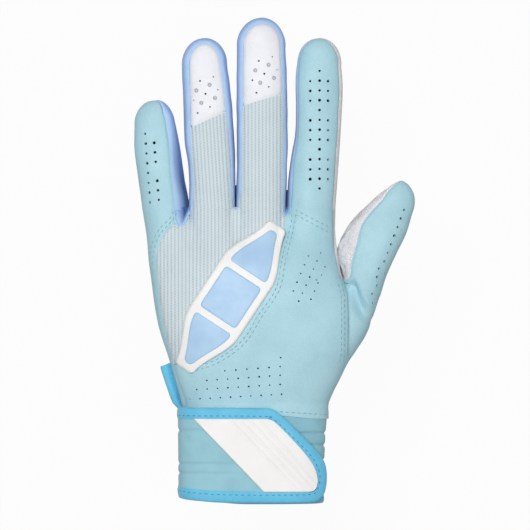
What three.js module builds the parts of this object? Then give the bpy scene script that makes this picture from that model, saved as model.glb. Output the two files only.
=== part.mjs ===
// Left-hand batting glove, lying on its palm with the back of the hand up.
// Millimetres. +X towards the thumb, +Y towards the fingertips, +Z out of the back of the hand.
// Plan positions are measured from the wrist hem, near the middle of the wrist.
import * as THREE from 'three';
import { mergeVertices } from 'three/addons/utils/BufferGeometryUtils.js';

const { lerp, smoothstep, clamp, degToRad, radToDeg } = THREE.MathUtils;

// Walls and clearances
const LEATHER = 1.2;
const KNIT = 1.3;
const GUSSET = 1.1;
const SEAM_GAP = 0.3;
const FOLD_GAP = 0.3;
const LAYER_GAP = 0.3;

// Lengths along the hand
const CUFF_LENGTH = 44;
const HAND_LENGTH = 93.5;
const HEM_WIDTH = 4;

// Heights above the table
const HAND_WAIST = 12;
const FINGER_WAIST = 9;
const THUMB_WAIST = 10.5;
const CUFF_WAIST = 15;
const CUFF_TOP = 27;
const CUFF_FLOOR = 3.5;
const FLATTEN = 2;
const KNUCKLE_BLEND = 30;
const VALLEY = 0.93;

// Roundness of the sections: 2 is an ellipse, more is boxier
const FINGER_ROUND = 2.3;
const HAND_ROUND = 2.6;
const CUFF_ROUND = 2.4;
const STRAP_ROUND = 3;

// Wrist band and strap
const CUFF_WALL = 2;
const CUFF_RIBS = 5;
const CUFF_RIB = 0.4;
const SLIT_FROM = 198;
const SLIT_TO = 212;
const PAD = 0.6;
const STRAP_WALL = 1.5;
const STRAP_RIBS = 4;
const STRAP_RIB = 0.4;
const STRAP_LOW = 2.5;
const STRAP_HIGH = 43.5;
const STRAP_TOP_LENGTH = 53;
const STRAP_LENGTH = 82;
const TAPE_WIDTH = 4;
const TAPE_WALL = 0.4;
const PATCH = 0.8;

// Overlay on the back of the hand
const EMBLEM_AT = [-8, 96];
const EMBLEM_LEAN = 33.4;
const EMBLEM_HALF_LENGTH = 40;
const EMBLEM_HALF_WIDTH = 13.5;
const EMBLEM_END_HALF_WIDTH = 5;
const EMBLEM_BORDER = 3.2;
const EMBLEM_SLOT = 2.5;
const EMBLEM_LIFT = 0.8;
// The plate is stiff and bridges dips of about this half width between the knuckles.
const EMBLEM_BRIDGE = 5;
const EMBLEM_PLATE = 1;
const EMBLEM_INLAY = 0.6;

const WRIST_Y = CUFF_LENGTH;
const KNUCKLE_Y = CUFF_LENGTH + HAND_LENGTH;

// Seam angles round a section: 90 is the back, 0 the edge, -90 the palm.
// Widths and heights are [distance from the fold, size]. Fingers in order from the little-finger edge.
const LITTLE = {
  root: [-38.7, KNUCKLE_Y],
  lean: -6.5,
  length: 50.8,
  tipReach: 11,
  left: [[0, 10.7], [14, 10.9], [27, 11.3], [40, 9.8]],
  right: [[0, 8.4], [8, 10], [14, 10.4], [27, 10.1], [40, 8.9]],
  height: [[0, 18.5], [40, 16]],
};
const RING = {
  root: [-15.8, KNUCKLE_Y],
  lean: -3.6,
  length: 79.6,
  tipReach: 12,
  left: [[0, 13.2], [5, 12.3], [11, 11], [20, 10.9], [33, 11.8], [48, 11.4], [67, 11]],
  right: [[0, 9.8], [11, 10.5], [22, 11.2], [45, 11.2], [56, 10.9], [67, 10.2]],
  height: [[0, 20], [67, 17]],
};
const MIDDLE = {
  root: [6.3, KNUCKLE_Y],
  lean: 0,
  length: 88.94,
  tipReach: 12.8,
  left: [[0, 11.9], [30, 11.5], [66, 11.7], [74, 11.6]],
  right: [[0, 11.3], [30, 12.2], [56, 11.9], [74, 11.2]],
  height: [[0, 20.5], [74, 17.5]],
};
const INDEX = {
  root: [29.6, KNUCKLE_Y],
  lean: 3,
  length: 79.6,
  tipReach: 12,
  left: [[0, 11.4], [25, 11.7], [34, 10.4], [48, 9.8], [60, 10.4], [67, 10.2]],
  right: [[0, 11.2], [22, 11.6], [37, 11.8], [56, 11.7], [67, 10.6]],
  height: [[0, 20], [67, 17]],
};
// The thumb runs on below its fold, down the side of the hand.
const THUMB = {
  root: [52.7, 101.3],
  lean: 21.5,
  length: 52.8,
  tipReach: 12,
  left: [[-50, 6], [-25, 7], [0, 8.4], [4, 10], [13, 14.8], [20.4, 16.1], [31.4, 12.6], [40.8, 8]],
  right: [
    [-50, 6.7], [-38.6, 7.1], [-29.6, 9.1], [-20.6, 10.7],
    [-4.6, 10.4], [10.4, 9.4], [28.4, 10.7], [40.8, 9.9],
  ],
  height: [[-50, 18], [-30, 20], [-10, 20.5], [20, 20], [41, 17]],
};
const THUMB_BASE_FROM = -36.6;
const PALM_SEAM = -35;
const PALM_WRAP = 16;
const CROTCH_LIFT = 5;
// How closely a side seam keeps its line before it turns round a fingertip.
const TIP_SEAM_BEND = 6;
// The white fingertips start on a slanted line across the finger.
const RING_TIP_AT = 43;
const RING_TIP_SLOPE = 0.4;
const MIDDLE_TIP_AT = 52;
const MIDDLE_TIP_SLOPE = 0.35;

// Edges and heights of the hand, and its seams in plan, as [distance from the hem, position]
const HAND_LEFT = [
  [44, -30.5], [50, -32], [58, -34.5], [66.6, -36.8], [74, -39.1], [85.3, -42.4],
  [100.2, -44.7], [111.4, -46.1], [122.6, -47.3], [KNUCKLE_Y, LITTLE.root[0] - LITTLE.left[0][1]],
];
const HAND_RIGHT = [
  [44, 36.8], [52, 40], [62, 45], [72, 50], [85, 52], [95, 50.5], [100, 47.5],
  [104.4, 44.4], [115, 42], [126, 40.8], [KNUCKLE_Y, INDEX.root[0] + INDEX.right[0][1]],
];
const HAND_HEIGHT = [[44, 27], [60, 29], [85, 30], [110, 27.5], [KNUCKLE_Y, 22]];
const HAND_FLOOR = [[44, 3], [56, 0]];
const ULNAR_SEAM = [
  [44, -28.5], [50, -30.3], [58, -33.2], [67, -35.8], [79.2, -38.6], [91.3, -40.7],
  [106.2, -42.5], [117, -42.6], [125, -39.5], [131, -34], [KNUCKLE_Y, -31],
];
const BACK_SEAM = [
  [55, -32.5], [58, -30], [60.7, -27], [69.2, -16.4], [77.7, -5.6], [89.4, 2],
  [101.1, 9.8], [114.2, 13.4], [122, 17.5], [129, 20.3], [KNUCKLE_Y, 17.9],
];
const THUMB_SEAM = [[62, 44.6], [68, 45.9], [78, 46.2], [90, 46.2], [98, 45.9], [104.4, 44.2]];
const CROTCH_Y = 104.4;
const MESH_FROM = 58;
const THUMB_SEAM_FROM = 64.2;
const CUFF_LEFT = [[0, -28], [44, -28.4]];
const CUFF_RIGHT = [[0, 34.4], [20, 35], [44, 36.6]];

// Facets
const SIDE_STEPS = 6;
const TIP_STEPS = 12;
const SPOKES = 4;
const BAND_STEPS = 4;
const HAND_ROWS = 20;
const PANEL_COLUMNS = 12;

// A smooth curve through knots, level beyond its ends.
function through(knots) {
  const last = knots.length - 1;
  const slope = (i) => {
    const before = knots[Math.max(i - 1, 0)];
    const after = knots[Math.min(i + 1, last)];
    return (after[1] - before[1]) / (after[0] - before[0]);
  };
  return (at) => {
    if (at <= knots[0][0]) return knots[0][1];
    if (at >= knots[last][0]) return knots[last][1];
    const i = knots.findIndex((knot) => knot[0] > at) - 1;
    const span = knots[i + 1][0] - knots[i][0];
    const s = (at - knots[i][0]) / span;
    const bend = s * (1 - s) * span * ((1 - s) * slope(i) - s * slope(i + 1));
    const chord = knots[i + 1][1] - knots[i][1];
    return knots[i][1] + chord * (s * s * (3 - 2 * s)) + bend;
  };
}

const steps = (count) => Array.from({ length: count + 1 }, (_, i) => i / count);
const bulge = (reach, round) => Math.max(1 - Math.min(reach, 1) ** round, 0) ** (1 / round);
const reachOf = (angle, round) => Math.abs(Math.cos(degToRad(angle))) ** (2 / round);
const riseOf = (angle, round) => Math.abs(Math.sin(degToRad(angle))) ** (2 / round);
const turnOfReach = (reach, round) => {
  const cosine = Math.sign(reach) * Math.min(Math.abs(reach), 1) ** (round / 2);
  return radToDeg(Math.acos(clamp(cosine, -1, 1)));
};

// One closed wall between rows of outer points and the matching rows of inner points.
// A joined wall leaves the last column open, where its own two halves meet.
function slab(outer, inner, joined = false) {
  const places = [];
  const faces = [];
  const store = (rows) => rows.map((row) => row.map((p) => {
    places.push(p.x, p.y, p.z);
    return places.length / 3 - 1;
  }));
  const quad = (a, b, c, d) => faces.push([a, b, c], [a, c, d]);
  const top = store(outer);
  const under = store(inner);
  const rows = top.length - 1;
  const columns = top[0].length - 1;
  for (let i = 0; i < rows; i++) {
    for (let j = 0; j < columns; j++) {
      quad(top[i][j], top[i + 1][j], top[i + 1][j + 1], top[i][j + 1]);
      quad(under[i][j], under[i][j + 1], under[i + 1][j + 1], under[i + 1][j]);
    }
    quad(top[i + 1][0], top[i][0], under[i][0], under[i + 1][0]);
    if (!joined) quad(top[i][columns], top[i + 1][columns], under[i + 1][columns], under[i][columns]);
  }
  for (let j = 0; j < columns; j++) {
    quad(top[0][j], top[0][j + 1], under[0][j + 1], under[0][j]);
    quad(top[rows][j + 1], top[rows][j], under[rows][j], under[rows][j + 1]);
  }
  return closedBody(places, faces);
}

// Welds shared corners, drops faces without area and turns the faces outward.
function closedBody(places, faces) {
  const loose = new THREE.BufferGeometry();
  loose.setAttribute('position', new THREE.Float32BufferAttribute(places, 3));
  loose.setIndex(faces.flat());
  const welded = mergeVertices(loose, 2e-3);
  const index = welded.getIndex().array;
  const corner = (i) => new THREE.Vector3().fromBufferAttribute(welded.getAttribute('position'), i);
  const kept = [];
  let volume = 0;
  for (let i = 0; i < index.length; i += 3) {
    const [a, b, c] = [index[i], index[i + 1], index[i + 2]];
    if (a === b || b === c || c === a) continue;
    kept.push([a, b, c]);
    volume += corner(a).dot(corner(b).cross(corner(c)));
  }
  const outward = volume < 0 ? kept.map(([a, b, c]) => [a, c, b]) : kept;
  welded.setIndex(outward.flat());
  const body = welded.toNonIndexed();
  body.computeVertexNormals();
  return body;
}

// A soft tube lying on the table, with a straight spine in plan and a round tip.
function limb(shape, waist, foldLean) {
  const along = new THREE.Vector2(Math.sin(degToRad(shape.lean)), Math.cos(degToRad(shape.lean)));
  const across = new THREE.Vector2(along.y, -along.x);
  const [left, right, height] = [shape.left, shape.right, shape.height].map(through);
  const centre = shape.length - shape.tipReach;
  const half = (t, sign, inset) => (sign < 0 ? left(t) : right(t)) - inset;
  const level = (t, angle, inset) => {
    const rise = riseOf(angle, FINGER_ROUND);
    if (angle >= 0) return waist + (height(t) - waist - inset) * rise;
    return Math.max(inset, waist - (waist + FLATTEN - inset) * rise);
  };
  const place = (t, s, z) => new THREE.Vector3(
    shape.root[0] + along.x * t + across.x * s,
    shape.root[1] + along.y * t + across.y * s,
    z,
  );
  const fold = (s) => Math.tan(degToRad(foldLean)) * s + FOLD_GAP / 2;
  const end = () => centre;
  // A point on one side, at a share of the way from a start line to a stop line.
  const side = (share, sign, angle, inset, start = fold, stop = end) => {
    const at = lerp(start(0), stop(0), share);
    const s = sign * half(at, sign, inset) * reachOf(angle, FINGER_ROUND);
    return place(lerp(start(s), stop(s), share), s, level(at, angle, inset));
  };
  const tip = (turn, angle, inset) => {
    const swing = Math.sin(degToRad(turn));
    const wide = lerp(left(centre), right(centre), (1 + swing) / 2) - inset;
    const reach = reachOf(angle, FINGER_ROUND);
    const t = centre + (shape.tipReach - inset) * reach * Math.cos(degToRad(turn));
    return place(t, wide * reach * swing, level(centre, angle, inset));
  };
  const turned = (t, turn, inset) => {
    const cosine = Math.cos(degToRad(turn));
    const s = Math.sign(cosine) * half(t, cosine, inset) * reachOf(turn, FINGER_ROUND);
    const angle = turn > 90 ? 180 - turn : turn;
    return place(t, s, level(t, angle, inset));
  };
  const local = (x, y) => {
    const from = new THREE.Vector2(x - shape.root[0], y - shape.root[1]);
    return [from.dot(along), from.dot(across)];
  };
  const sectionAt = (x, y, inset, valleyLeft, valleyRight) => {
    const [t, s] = local(x, y);
    const limit = (s < 0 ? valleyLeft : valleyRight) ? VALLEY : 1;
    const reach = Math.min(Math.abs(s) / half(t, s, inset), limit);
    const swell = bulge(reach, FINGER_ROUND);
    return {
      top: waist + (height(t) - waist - inset) * swell,
      bottom: Math.max(inset, waist - (waist + FLATTEN - inset) * swell),
    };
  };
  return { shape, along, across, half, centre, place, fold, side, tip, turned, local, sectionAt };
}

const little = limb(LITTLE, FINGER_WAIST, LITTLE.lean);
const ring = limb(RING, FINGER_WAIST, RING.lean);
const middle = limb(MIDDLE, FINGER_WAIST, MIDDLE.lean);
const index = limb(INDEX, FINGER_WAIST, INDEX.lean);
const thumb = limb(THUMB, THUMB_WAIST, 0);
const fingers = [little, ring, middle, index];
const HALF_SEAM = radToDeg(SEAM_GAP / 2 / FINGER_WAIST);

// A distance up a digit as a share of its straight part.
function shareUp(digit, t) {
  return (t - digit.fold(0)) / (digit.centre - digit.fold(0));
}

// Stations up the left side of a digit, round its tip and down its right side.
// A seam is {left: [at the fold, at the tip], tip, right: [at the fold, at the tip]}.
function stations(digit, seam, start = digit.fold) {
  const list = [];
  const sideStation = (sign, share) => {
    const ends = sign < 0 ? seam.left : seam.right;
    const point = (angle, inset) => digit.side(share, sign, angle, inset, start);
    const angle = lerp(ends[0], ends[1], shareUp(digit, lerp(start(0), digit.centre, share)));
    return { point, angle, turn: sign * 90, share };
  };
  steps(SIDE_STEPS).slice(0, -1).forEach((share) => list.push(sideStation(-1, share)));
  steps(TIP_STEPS).forEach((share) => {
    const turn = lerp(-90, 90, share);
    const ends = turn < 0 ? seam.left : seam.right;
    const nose = Math.cos(degToRad(turn)) ** TIP_SEAM_BEND;
    const point = (angle, inset) => digit.tip(turn, angle, inset);
    list.push({ point, angle: lerp(ends[1], seam.tip, nose), turn, share: 1 });
  });
  steps(SIDE_STEPS).slice(0, -1).reverse().forEach((share) => list.push(sideStation(1, share)));
  return list;
}

// The back (up) or the palm (down) of a digit, from its seam to its middle line.
function digitPanel(digit, seam, wall, up, start) {
  const rows = (inset) => stations(digit, seam, start).map((station) => {
    const edge = station.angle + up * HALF_SEAM;
    return steps(SPOKES).map((share) => station.point(lerp(edge, up * 90, share), inset));
  });
  return slab(rows(0), rows(wall), true);
}

// The strip between the back seam and the palm seam.
function digitSide(digit, backSeam, palmSeam, wall, wanted = () => true) {
  const upper = stations(digit, backSeam);
  const lower = stations(digit, palmSeam);
  const rows = (inset) => upper.flatMap((station, i) => {
    if (!wanted(station)) return [];
    const [from, to] = [station.angle - HALF_SEAM, lower[i].angle + HALF_SEAM];
    return [steps(BAND_STEPS).map((share) => station.point(lerp(from, to, share), inset))];
  });
  return slab(rows(0), rows(wall));
}

// The back of a finger between the fold and the slanted line where its tip panel starts.
function digitBack(digit, seam, wall, stop) {
  const rows = (inset) => steps(SIDE_STEPS).map((share) => {
    const half = (sign, ends) => steps(SPOKES).map((k) => {
      const up = shareUp(digit, lerp(digit.fold(0), stop(0), share));
      const edge = lerp(ends[0], ends[1], up) + HALF_SEAM;
      return digit.side(share, sign, lerp(edge, 90, k), inset, digit.fold, stop);
    });
    return [...half(-1, seam.left), ...half(1, seam.right).reverse().slice(1)];
  });
  return slab(rows(0), rows(wall));
}

// The hand: a flat oval tube whose back swells into the fingers at the knuckles.
const handLeft = through(HAND_LEFT);
const handRight = through(HAND_RIGHT);
const handHeight = through(HAND_HEIGHT);
const handFloor = through(HAND_FLOOR);
const ulnarSeam = through(ULNAR_SEAM);
const backSeam = through(BACK_SEAM);
const thumbSeam = through(THUMB_SEAM);

function handSpan(y, inset) {
  const [left, right] = [handLeft(y) + inset, handRight(y) - inset];
  return { middle: (left + right) / 2, half: (right - left) / 2 };
}

function handLevels(x, y, inset) {
  const span = handSpan(y, inset);
  const swell = bulge(Math.abs(x - span.middle) / span.half, HAND_ROUND);
  const floor = handFloor(y);
  const top = HAND_WAIST + (handHeight(y) - HAND_WAIST - inset) * swell;
  const bottom = Math.max(floor + inset, HAND_WAIST - (HAND_WAIST + FLATTEN - inset) * swell);
  const sections = fingers.map((finger, i) => finger.sectionAt(x, y, inset, i > 0, i < fingers.length - 1));
  const near = smoothstep(y, KNUCKLE_Y - KNUCKLE_BLEND, KNUCKLE_Y);
  return {
    top: lerp(top, Math.max(...sections.map((section) => section.top)), near),
    bottom: lerp(bottom, Math.min(...sections.map((section) => section.bottom)), near),
  };
}

// Turn round the hand: 0 at the thumb edge, 90 on the back, 180 at the little-finger edge, 270 in the palm.
function handPoint(y, turn, inset) {
  const span = handSpan(y, inset);
  const cosine = Math.cos(degToRad(turn));
  const x = span.middle + Math.sign(cosine) * span.half * reachOf(turn, HAND_ROUND);
  const levels = handLevels(x, y, inset);
  return new THREE.Vector3(x, y, Math.sin(degToRad(turn)) >= 0 ? levels.top : levels.bottom);
}

function turnAt(x, y) {
  const span = handSpan(y, 0);
  return turnOfReach((x - span.middle) / span.half, HAND_ROUND);
}

const HAND_FROM = WRIST_Y + SEAM_GAP / 2;
const HAND_TO = KNUCKLE_Y - FOLD_GAP / 2;
const handRows = steps(HAND_ROWS).map((share) => lerp(HAND_FROM, HAND_TO, share));
// The back panel turns from the palm seam to the thumb seam within a short step.
const backRows = [...handRows, THUMB_SEAM_FROM - SEAM_GAP, THUMB_SEAM_FROM].sort((a, b) => a - b);

function handPanel(levels, from, to, wall, columns = PANEL_COLUMNS) {
  const rows = (inset) => levels.map((y) => (
    steps(columns).map((share) => handPoint(y, lerp(from(y), to(y), share), inset))));
  return slab(rows(0), rows(wall));
}

const ulnarTurn = (y, gap) => turnAt(ulnarSeam(y) + gap, y);
const meshRows = backRows.filter((y) => y > MESH_FROM);
const meshLeft = (y) => ulnarTurn(y, SEAM_GAP / 2);
const meshRight = (y) => turnAt(backSeam(y) - SEAM_GAP / 2, y);
function backLeft(y) {
  return y > MESH_FROM ? turnAt(backSeam(y) + SEAM_GAP / 2, y) : ulnarTurn(y, SEAM_GAP / 2);
}
function backRight(y) {
  if (y < THUMB_SEAM_FROM) return PALM_SEAM + HALF_SEAM;
  if (y < CROTCH_Y) return turnAt(thumbSeam(y), y);
  return PALM_WRAP + HALF_SEAM;
}
const ulnarUpper = (y) => ulnarTurn(y, -SEAM_GAP);
const ulnarLower = () => 180 - PALM_SEAM - HALF_SEAM;

// The root of the thumb, from the seam on the hand's back over the thumb edge to the palm seam.
function thumbBase() {
  const seamTurn = (t) => {
    let s = 0;
    for (let i = 0; i < 6; i++) {
      const spot = thumb.place(t, s, 0);
      s += (thumbSeam(spot.y) + 2 * SEAM_GAP - spot.x) / thumb.across.x;
    }
    return turnOfReach(s / thumb.half(t, s, 0), FINGER_ROUND);
  };
  const rows = (inset) => steps(10).map((share) => {
    const t = lerp(THUMB_BASE_FROM, -FOLD_GAP / 2, share);
    return steps(8).map((k) => thumb.turned(t, lerp(seamTurn(t), PALM_SEAM + HALF_SEAM, k), inset));
  });
  return slab(rows(0), rows(LEATHER));
}

// The palm: its right border follows the thumb edge, then the fold of the thumb,
// then wraps up beside the index finger.
function palm() {
  const foldX = (y) => {
    const s = (y - THUMB.root[1] + (FOLD_GAP / 2) * thumb.along.y) / thumb.across.y;
    return thumb.place(-FOLD_GAP / 2, s, 0).x;
  };
  const thumbEdge = (y, inset) => {
    let t = 0;
    let spot = thumb.turned(t, PALM_SEAM - HALF_SEAM, inset);
    for (let i = 0; i < 6; i++) {
      t += (y - spot.y) / thumb.along.y;
      spot = thumb.turned(t, PALM_SEAM - HALF_SEAM, inset);
    }
    return spot.x;
  };
  const foldFrom = thumb.turned(-FOLD_GAP / 2, PALM_SEAM - HALF_SEAM, 0).y;
  const low = (x, y, inset) => Math.min(
    handLevels(x, y, inset).bottom,
    thumb.sectionAt(x, y, inset).bottom,
    CROTCH_LIFT + inset,
  );
  const extra = steps(4).map((share) => lerp(foldFrom, CROTCH_Y - 0.2, share));
  const plain = backRows.filter((y) => y < foldFrom - 1 || y > CROTCH_Y + 1);
  const levels = [...plain, ...extra].sort((a, b) => a - b);
  const half = PANEL_COLUMNS / 2;
  const rows = (inset) => levels.map((y) => {
    const leftHalf = steps(half).map((k) => handPoint(y, lerp(180 - PALM_SEAM + HALF_SEAM, 270, k), inset));
    const wraps = y > CROTCH_Y;
    if (wraps || y < THUMB_SEAM_FROM) {
      const last = 360 + (wraps ? PALM_WRAP : PALM_SEAM) - HALF_SEAM;
      return [...leftHalf, ...steps(half).slice(1).map((k) => handPoint(y, lerp(270, last, k), inset))];
    }
    const edge = y < foldFrom ? thumbEdge(y, inset) : Math.min(foldX(y), thumbEdge(y, inset));
    const from = leftHalf[half].x;
    return [...leftHalf, ...steps(half).slice(1).map((k) => {
      const x = lerp(from, edge, k);
      return new THREE.Vector3(x, y, low(x, y, inset));
    })];
  });
  return slab(rows(0), rows(LEATHER));
}

// A plate that follows the back of the hand, laid along the overlay's long axis.
function overlay(from, to, border, lift, thickness, rowCount, columns) {
  const [lean, half] = [degToRad(EMBLEM_LEAN), EMBLEM_HALF_LENGTH];
  const along = new THREE.Vector2(Math.sin(lean), Math.cos(lean));
  const width = (s) => {
    const share = smoothstep(Math.abs(s), half * 0.35, half);
    return lerp(EMBLEM_HALF_WIDTH, EMBLEM_END_HALF_WIDTH, share) - border;
  };
  const rows = (height) => steps(rowCount).map((share) => {
    const s = lerp(from, to, share);
    return steps(columns).map((k) => {
      const c = lerp(-width(s), width(s), k);
      const x = EMBLEM_AT[0] + along.x * s + along.y * c;
      const y = EMBLEM_AT[1] + along.y * s - along.x * c;
      const level = (aside) => handLevels(x + aside, y, -height).top;
      return new THREE.Vector3(x, y, Math.max(level(0), (level(-EMBLEM_BRIDGE) + level(EMBLEM_BRIDGE)) / 2));
    });
  });
  return slab(rows(lift + thickness), rows(lift));
}

// The wrist band, in turns like the hand. Offsets are outward from its smooth outer face.
const cuffLeft = through(CUFF_LEFT);
const cuffRight = through(CUFF_RIGHT);
function cuffPoint(y, turn, offset, round = CUFF_ROUND) {
  const [left, right] = [cuffLeft(y) - offset, cuffRight(y) + offset];
  const cosine = Math.cos(degToRad(turn));
  const x = (left + right) / 2 + Math.sign(cosine) * ((right - left) / 2) * reachOf(turn, round);
  const rise = riseOf(turn, round);
  const up = Math.sin(degToRad(turn)) >= 0;
  const z = up ? CUFF_WAIST + (CUFF_TOP - CUFF_WAIST + offset) * rise
    : CUFF_WAIST - (CUFF_WAIST - CUFF_FLOOR + offset) * rise;
  return new THREE.Vector3(x, y, z);
}
const ribs = (share, count, height) => height * Math.abs(Math.sin(Math.PI * share * count));

function cuffPiece(from, to, rowCount, outer, inner) {
  const rows = (offset) => steps(rowCount).map((share) => steps(32).map((k) => (
    cuffPoint(lerp(from, to, share), lerp(SLIT_TO - 360, SLIT_FROM, k), offset(share)))));
  return slab(rows(outer), rows(inner));
}

// The strap is laid out flat: distance from its peel line, and distance from the hem.
const HOOK_LIFT = CUFF_RIB + LAYER_GAP + PAD + LAYER_GAP;
const STRAP_LIFT = HOOK_LIFT + PAD + LAYER_GAP;
const STRAP_TOP = STRAP_LIFT + STRAP_WALL;
const arc = steps(200).map((share) => lerp(180, -10, share));
const arcPoints = arc.map((turn) => cuffPoint(CUFF_LENGTH / 2, turn, STRAP_TOP, STRAP_ROUND));
const arcLength = arcPoints.reduce((list, point, i) => (
  [...list, i ? list[i - 1] + point.distanceTo(arcPoints[i - 1]) : 0]), []);
function strapTurn(u) {
  const i = Math.max(arcLength.findIndex((length) => length > u), 1);
  return lerp(arc[i - 1], arc[i], (u - arcLength[i - 1]) / (arcLength[i] - arcLength[i - 1]));
}
const strapPoint = (u, y, offset) => cuffPoint(y, strapTurn(u), offset, STRAP_ROUND);
const bandPoint = (u, y, offset) => cuffPoint(y, strapTurn(u), offset);
const STRAP_OUTLINE = [
  [SEAM_GAP, STRAP_HIGH], [STRAP_TOP_LENGTH / 2, STRAP_HIGH], [STRAP_TOP_LENGTH - 4, STRAP_HIGH],
  [STRAP_TOP_LENGTH, STRAP_HIGH - 1], [STRAP_LENGTH - 13, 31.5], [STRAP_LENGTH - 4, 23.2],
  [STRAP_LENGTH - 1, 19.5], [STRAP_LENGTH, 15.5], [STRAP_LENGTH, 9], [STRAP_LENGTH - 2, 4.6],
  [STRAP_LENGTH - 6, STRAP_LOW], [STRAP_LENGTH / 2, STRAP_LOW], [SEAM_GAP, STRAP_LOW],
].map(([u, y]) => new THREE.Vector2(u, y));

// The outline moved inward by a width.
function strapInset(width) {
  return STRAP_OUTLINE.map((spot, i) => {
    const ends = i === 0 || i === STRAP_OUTLINE.length - 1;
    const before = STRAP_OUTLINE[Math.max(i - 1, 0)];
    const after = STRAP_OUTLINE[Math.min(i + 1, STRAP_OUTLINE.length - 1)];
    const there = spot.clone().sub(before).normalize();
    const onward = after.clone().sub(spot).normalize();
    const way = there.add(onward).normalize();
    const straight = ends ? 1 : way.dot(onward);
    return new THREE.Vector2(spot.x + (way.y * width) / straight, spot.y - (way.x * width) / straight);
  });
}

// How far the strap reaches at a distance from the hem, inside a border.
function strapReach(y, border) {
  const line = strapInset(border);
  let reach = 0;
  for (let i = 1; i < line.length; i++) {
    const [a, b] = [line[i - 1], line[i]];
    const share = (a.y - y) / (a.y - b.y);
    if (share >= 0 && share <= 1) reach = Math.max(reach, lerp(a.x, b.x, share));
  }
  return reach;
}

function strapSheet(low, high, from, border, outer, inner, columns, rowCount, spot = strapPoint) {
  const rows = (offset) => steps(rowCount).map((share) => {
    const y = lerp(low, high, share);
    const [start, stop] = [from(y), strapReach(y, border)];
    return steps(columns).map((k) => spot(lerp(start, stop, k), y, offset(share)));
  });
  return slab(rows(outer), rows(inner));
}

function tape() {
  const [edge, inside] = [strapInset(0), strapInset(TAPE_WIDTH)];
  const dense = (line) => line.flatMap((spot, i) => {
    if (i === line.length - 1) return [spot];
    const parts = Math.max(1, Math.round(STRAP_OUTLINE[i].distanceTo(STRAP_OUTLINE[i + 1]) / 6));
    return steps(parts).slice(0, -1).map((share) => spot.clone().lerp(line[i + 1], share));
  });
  const [outerLine, innerLine] = [dense(edge), dense(inside)];
  const rows = (offset) => outerLine.map((spot, i) => steps(2).map((share) => {
    const at = spot.clone().lerp(innerLine[i], share);
    return strapPoint(at.x, at.y, offset);
  }));
  return slab(rows(STRAP_TOP + TAPE_WALL), rows(STRAP_LIFT - TAPE_WALL));
}

// The fixed end of the strap, from the peel line round to the palm side of the slit.
function anchor() {
  const rows = (offset) => steps(6).map((share) => steps(8).map((k) => {
    const sunk = smoothstep(k, 0, 0.45) * (STRAP_LIFT - CUFF_RIB - LAYER_GAP);
    const turn = lerp(180.6, 236, k);
    return cuffPoint(lerp(STRAP_LOW, STRAP_HIGH, share), turn, offset - sunk);
  }));
  return slab(rows(STRAP_TOP), rows(STRAP_LIFT));
}

// The taped edge of the slit, standing off the little-finger edge of the hand.
function placket() {
  const rows = (from, to) => steps(6).map((share) => {
    const y = lerp(WRIST_Y + SEAM_GAP, 63.5, share);
    return steps(4).map((k) => handPoint(y, lerp(168, 200, k), -lerp(from, to, share)));
  });
  return slab(rows(STRAP_TOP - 1.6, 4.6), rows(STRAP_LIFT - 1.6, 2.8));
}

const leatherAqua = { color: 0xa9d3df, roughness: 0.55, metalness: 0 };
const knitGrey = { color: 0xc9d9dd, roughness: 0.85, metalness: 0 };
const leatherWhite = { color: 0xeceaee, roughness: 0.6, metalness: 0 };
const gussetBlue = { color: 0x9fb9e2, roughness: 0.8, metalness: 0 };
const tapeBlue = { color: 0x6ec2e6, roughness: 0.6, metalness: 0 };
const ribbedAqua = { color: 0x98c5d4, roughness: 0.7, metalness: 0 };
const mouldedWhite = { color: 0xf0efec, roughness: 0.45, metalness: 0 };
const mouldedBlue = { color: 0xb8d8f2, roughness: 0.45, metalness: 0 };
const padWhite = { color: 0xdfe6e8, roughness: 0.9, metalness: 0 };

const glove = new THREE.Group();
glove.name = 'batting_glove';
function add(name, geometry, look) {
  const mesh = new THREE.Mesh(geometry, new THREE.MeshStandardMaterial(look));
  mesh.name = name;
  glove.add(mesh);
}

// Hand
add('hand_palm', palm(), leatherWhite);
add('hand_mesh', handPanel(meshRows, meshLeft, meshRight, KNIT, 14), knitGrey);
add('hand_back', handPanel(backRows, backLeft, backRight, LEATHER), leatherAqua);
add('ulnar_side', handPanel(handRows, ulnarUpper, ulnarLower, LEATHER, 6), leatherAqua);
add('thumb_base', thumbBase(), leatherAqua);
const half = EMBLEM_HALF_LENGTH - EMBLEM_BORDER;
const third = (2 * half - 2 * EMBLEM_SLOT) / 3;
const plate = overlay(-EMBLEM_HALF_LENGTH, EMBLEM_HALF_LENGTH, 0, EMBLEM_LIFT, EMBLEM_PLATE, 14, 6);
add('emblem_plate', plate, mouldedWhite);
[0, 1, 2].forEach((i) => {
  const from = -half + i * (third + EMBLEM_SLOT);
  const lift = EMBLEM_LIFT + EMBLEM_PLATE + 2 * LAYER_GAP;
  const inlay = overlay(from, from + third, EMBLEM_BORDER, lift, EMBLEM_INLAY, 6, 6);
  add(`emblem_inlay_${i + 1}`, inlay, mouldedBlue);
});

// Wrist band
const band = (share) => ribs(share, CUFF_RIBS, CUFF_RIB);
const [bandFrom, bandTo] = [HEM_WIDTH + SEAM_GAP, WRIST_Y - SEAM_GAP / 2];
add('cuff_band', cuffPiece(bandFrom, bandTo, 2 * CUFF_RIBS, band, () => -CUFF_WALL), ribbedAqua);
add('cuff_binding', cuffPiece(0, HEM_WIDTH, 2, () => CUFF_RIB, () => -CUFF_WALL - TAPE_WALL), tapeBlue);
const padRows = (low, high, from, border, lift, spot) => (
  strapSheet(low, high, () => from, border, () => lift + PAD, () => lift, 14, 4, spot));
add('loop_pad', padRows(11, 35, 22, 8, CUFF_RIB + LAYER_GAP, bandPoint), padWhite);
add('strap_anchor', anchor(), ribbedAqua);
add('placket_binding', placket(), tapeBlue);

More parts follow.
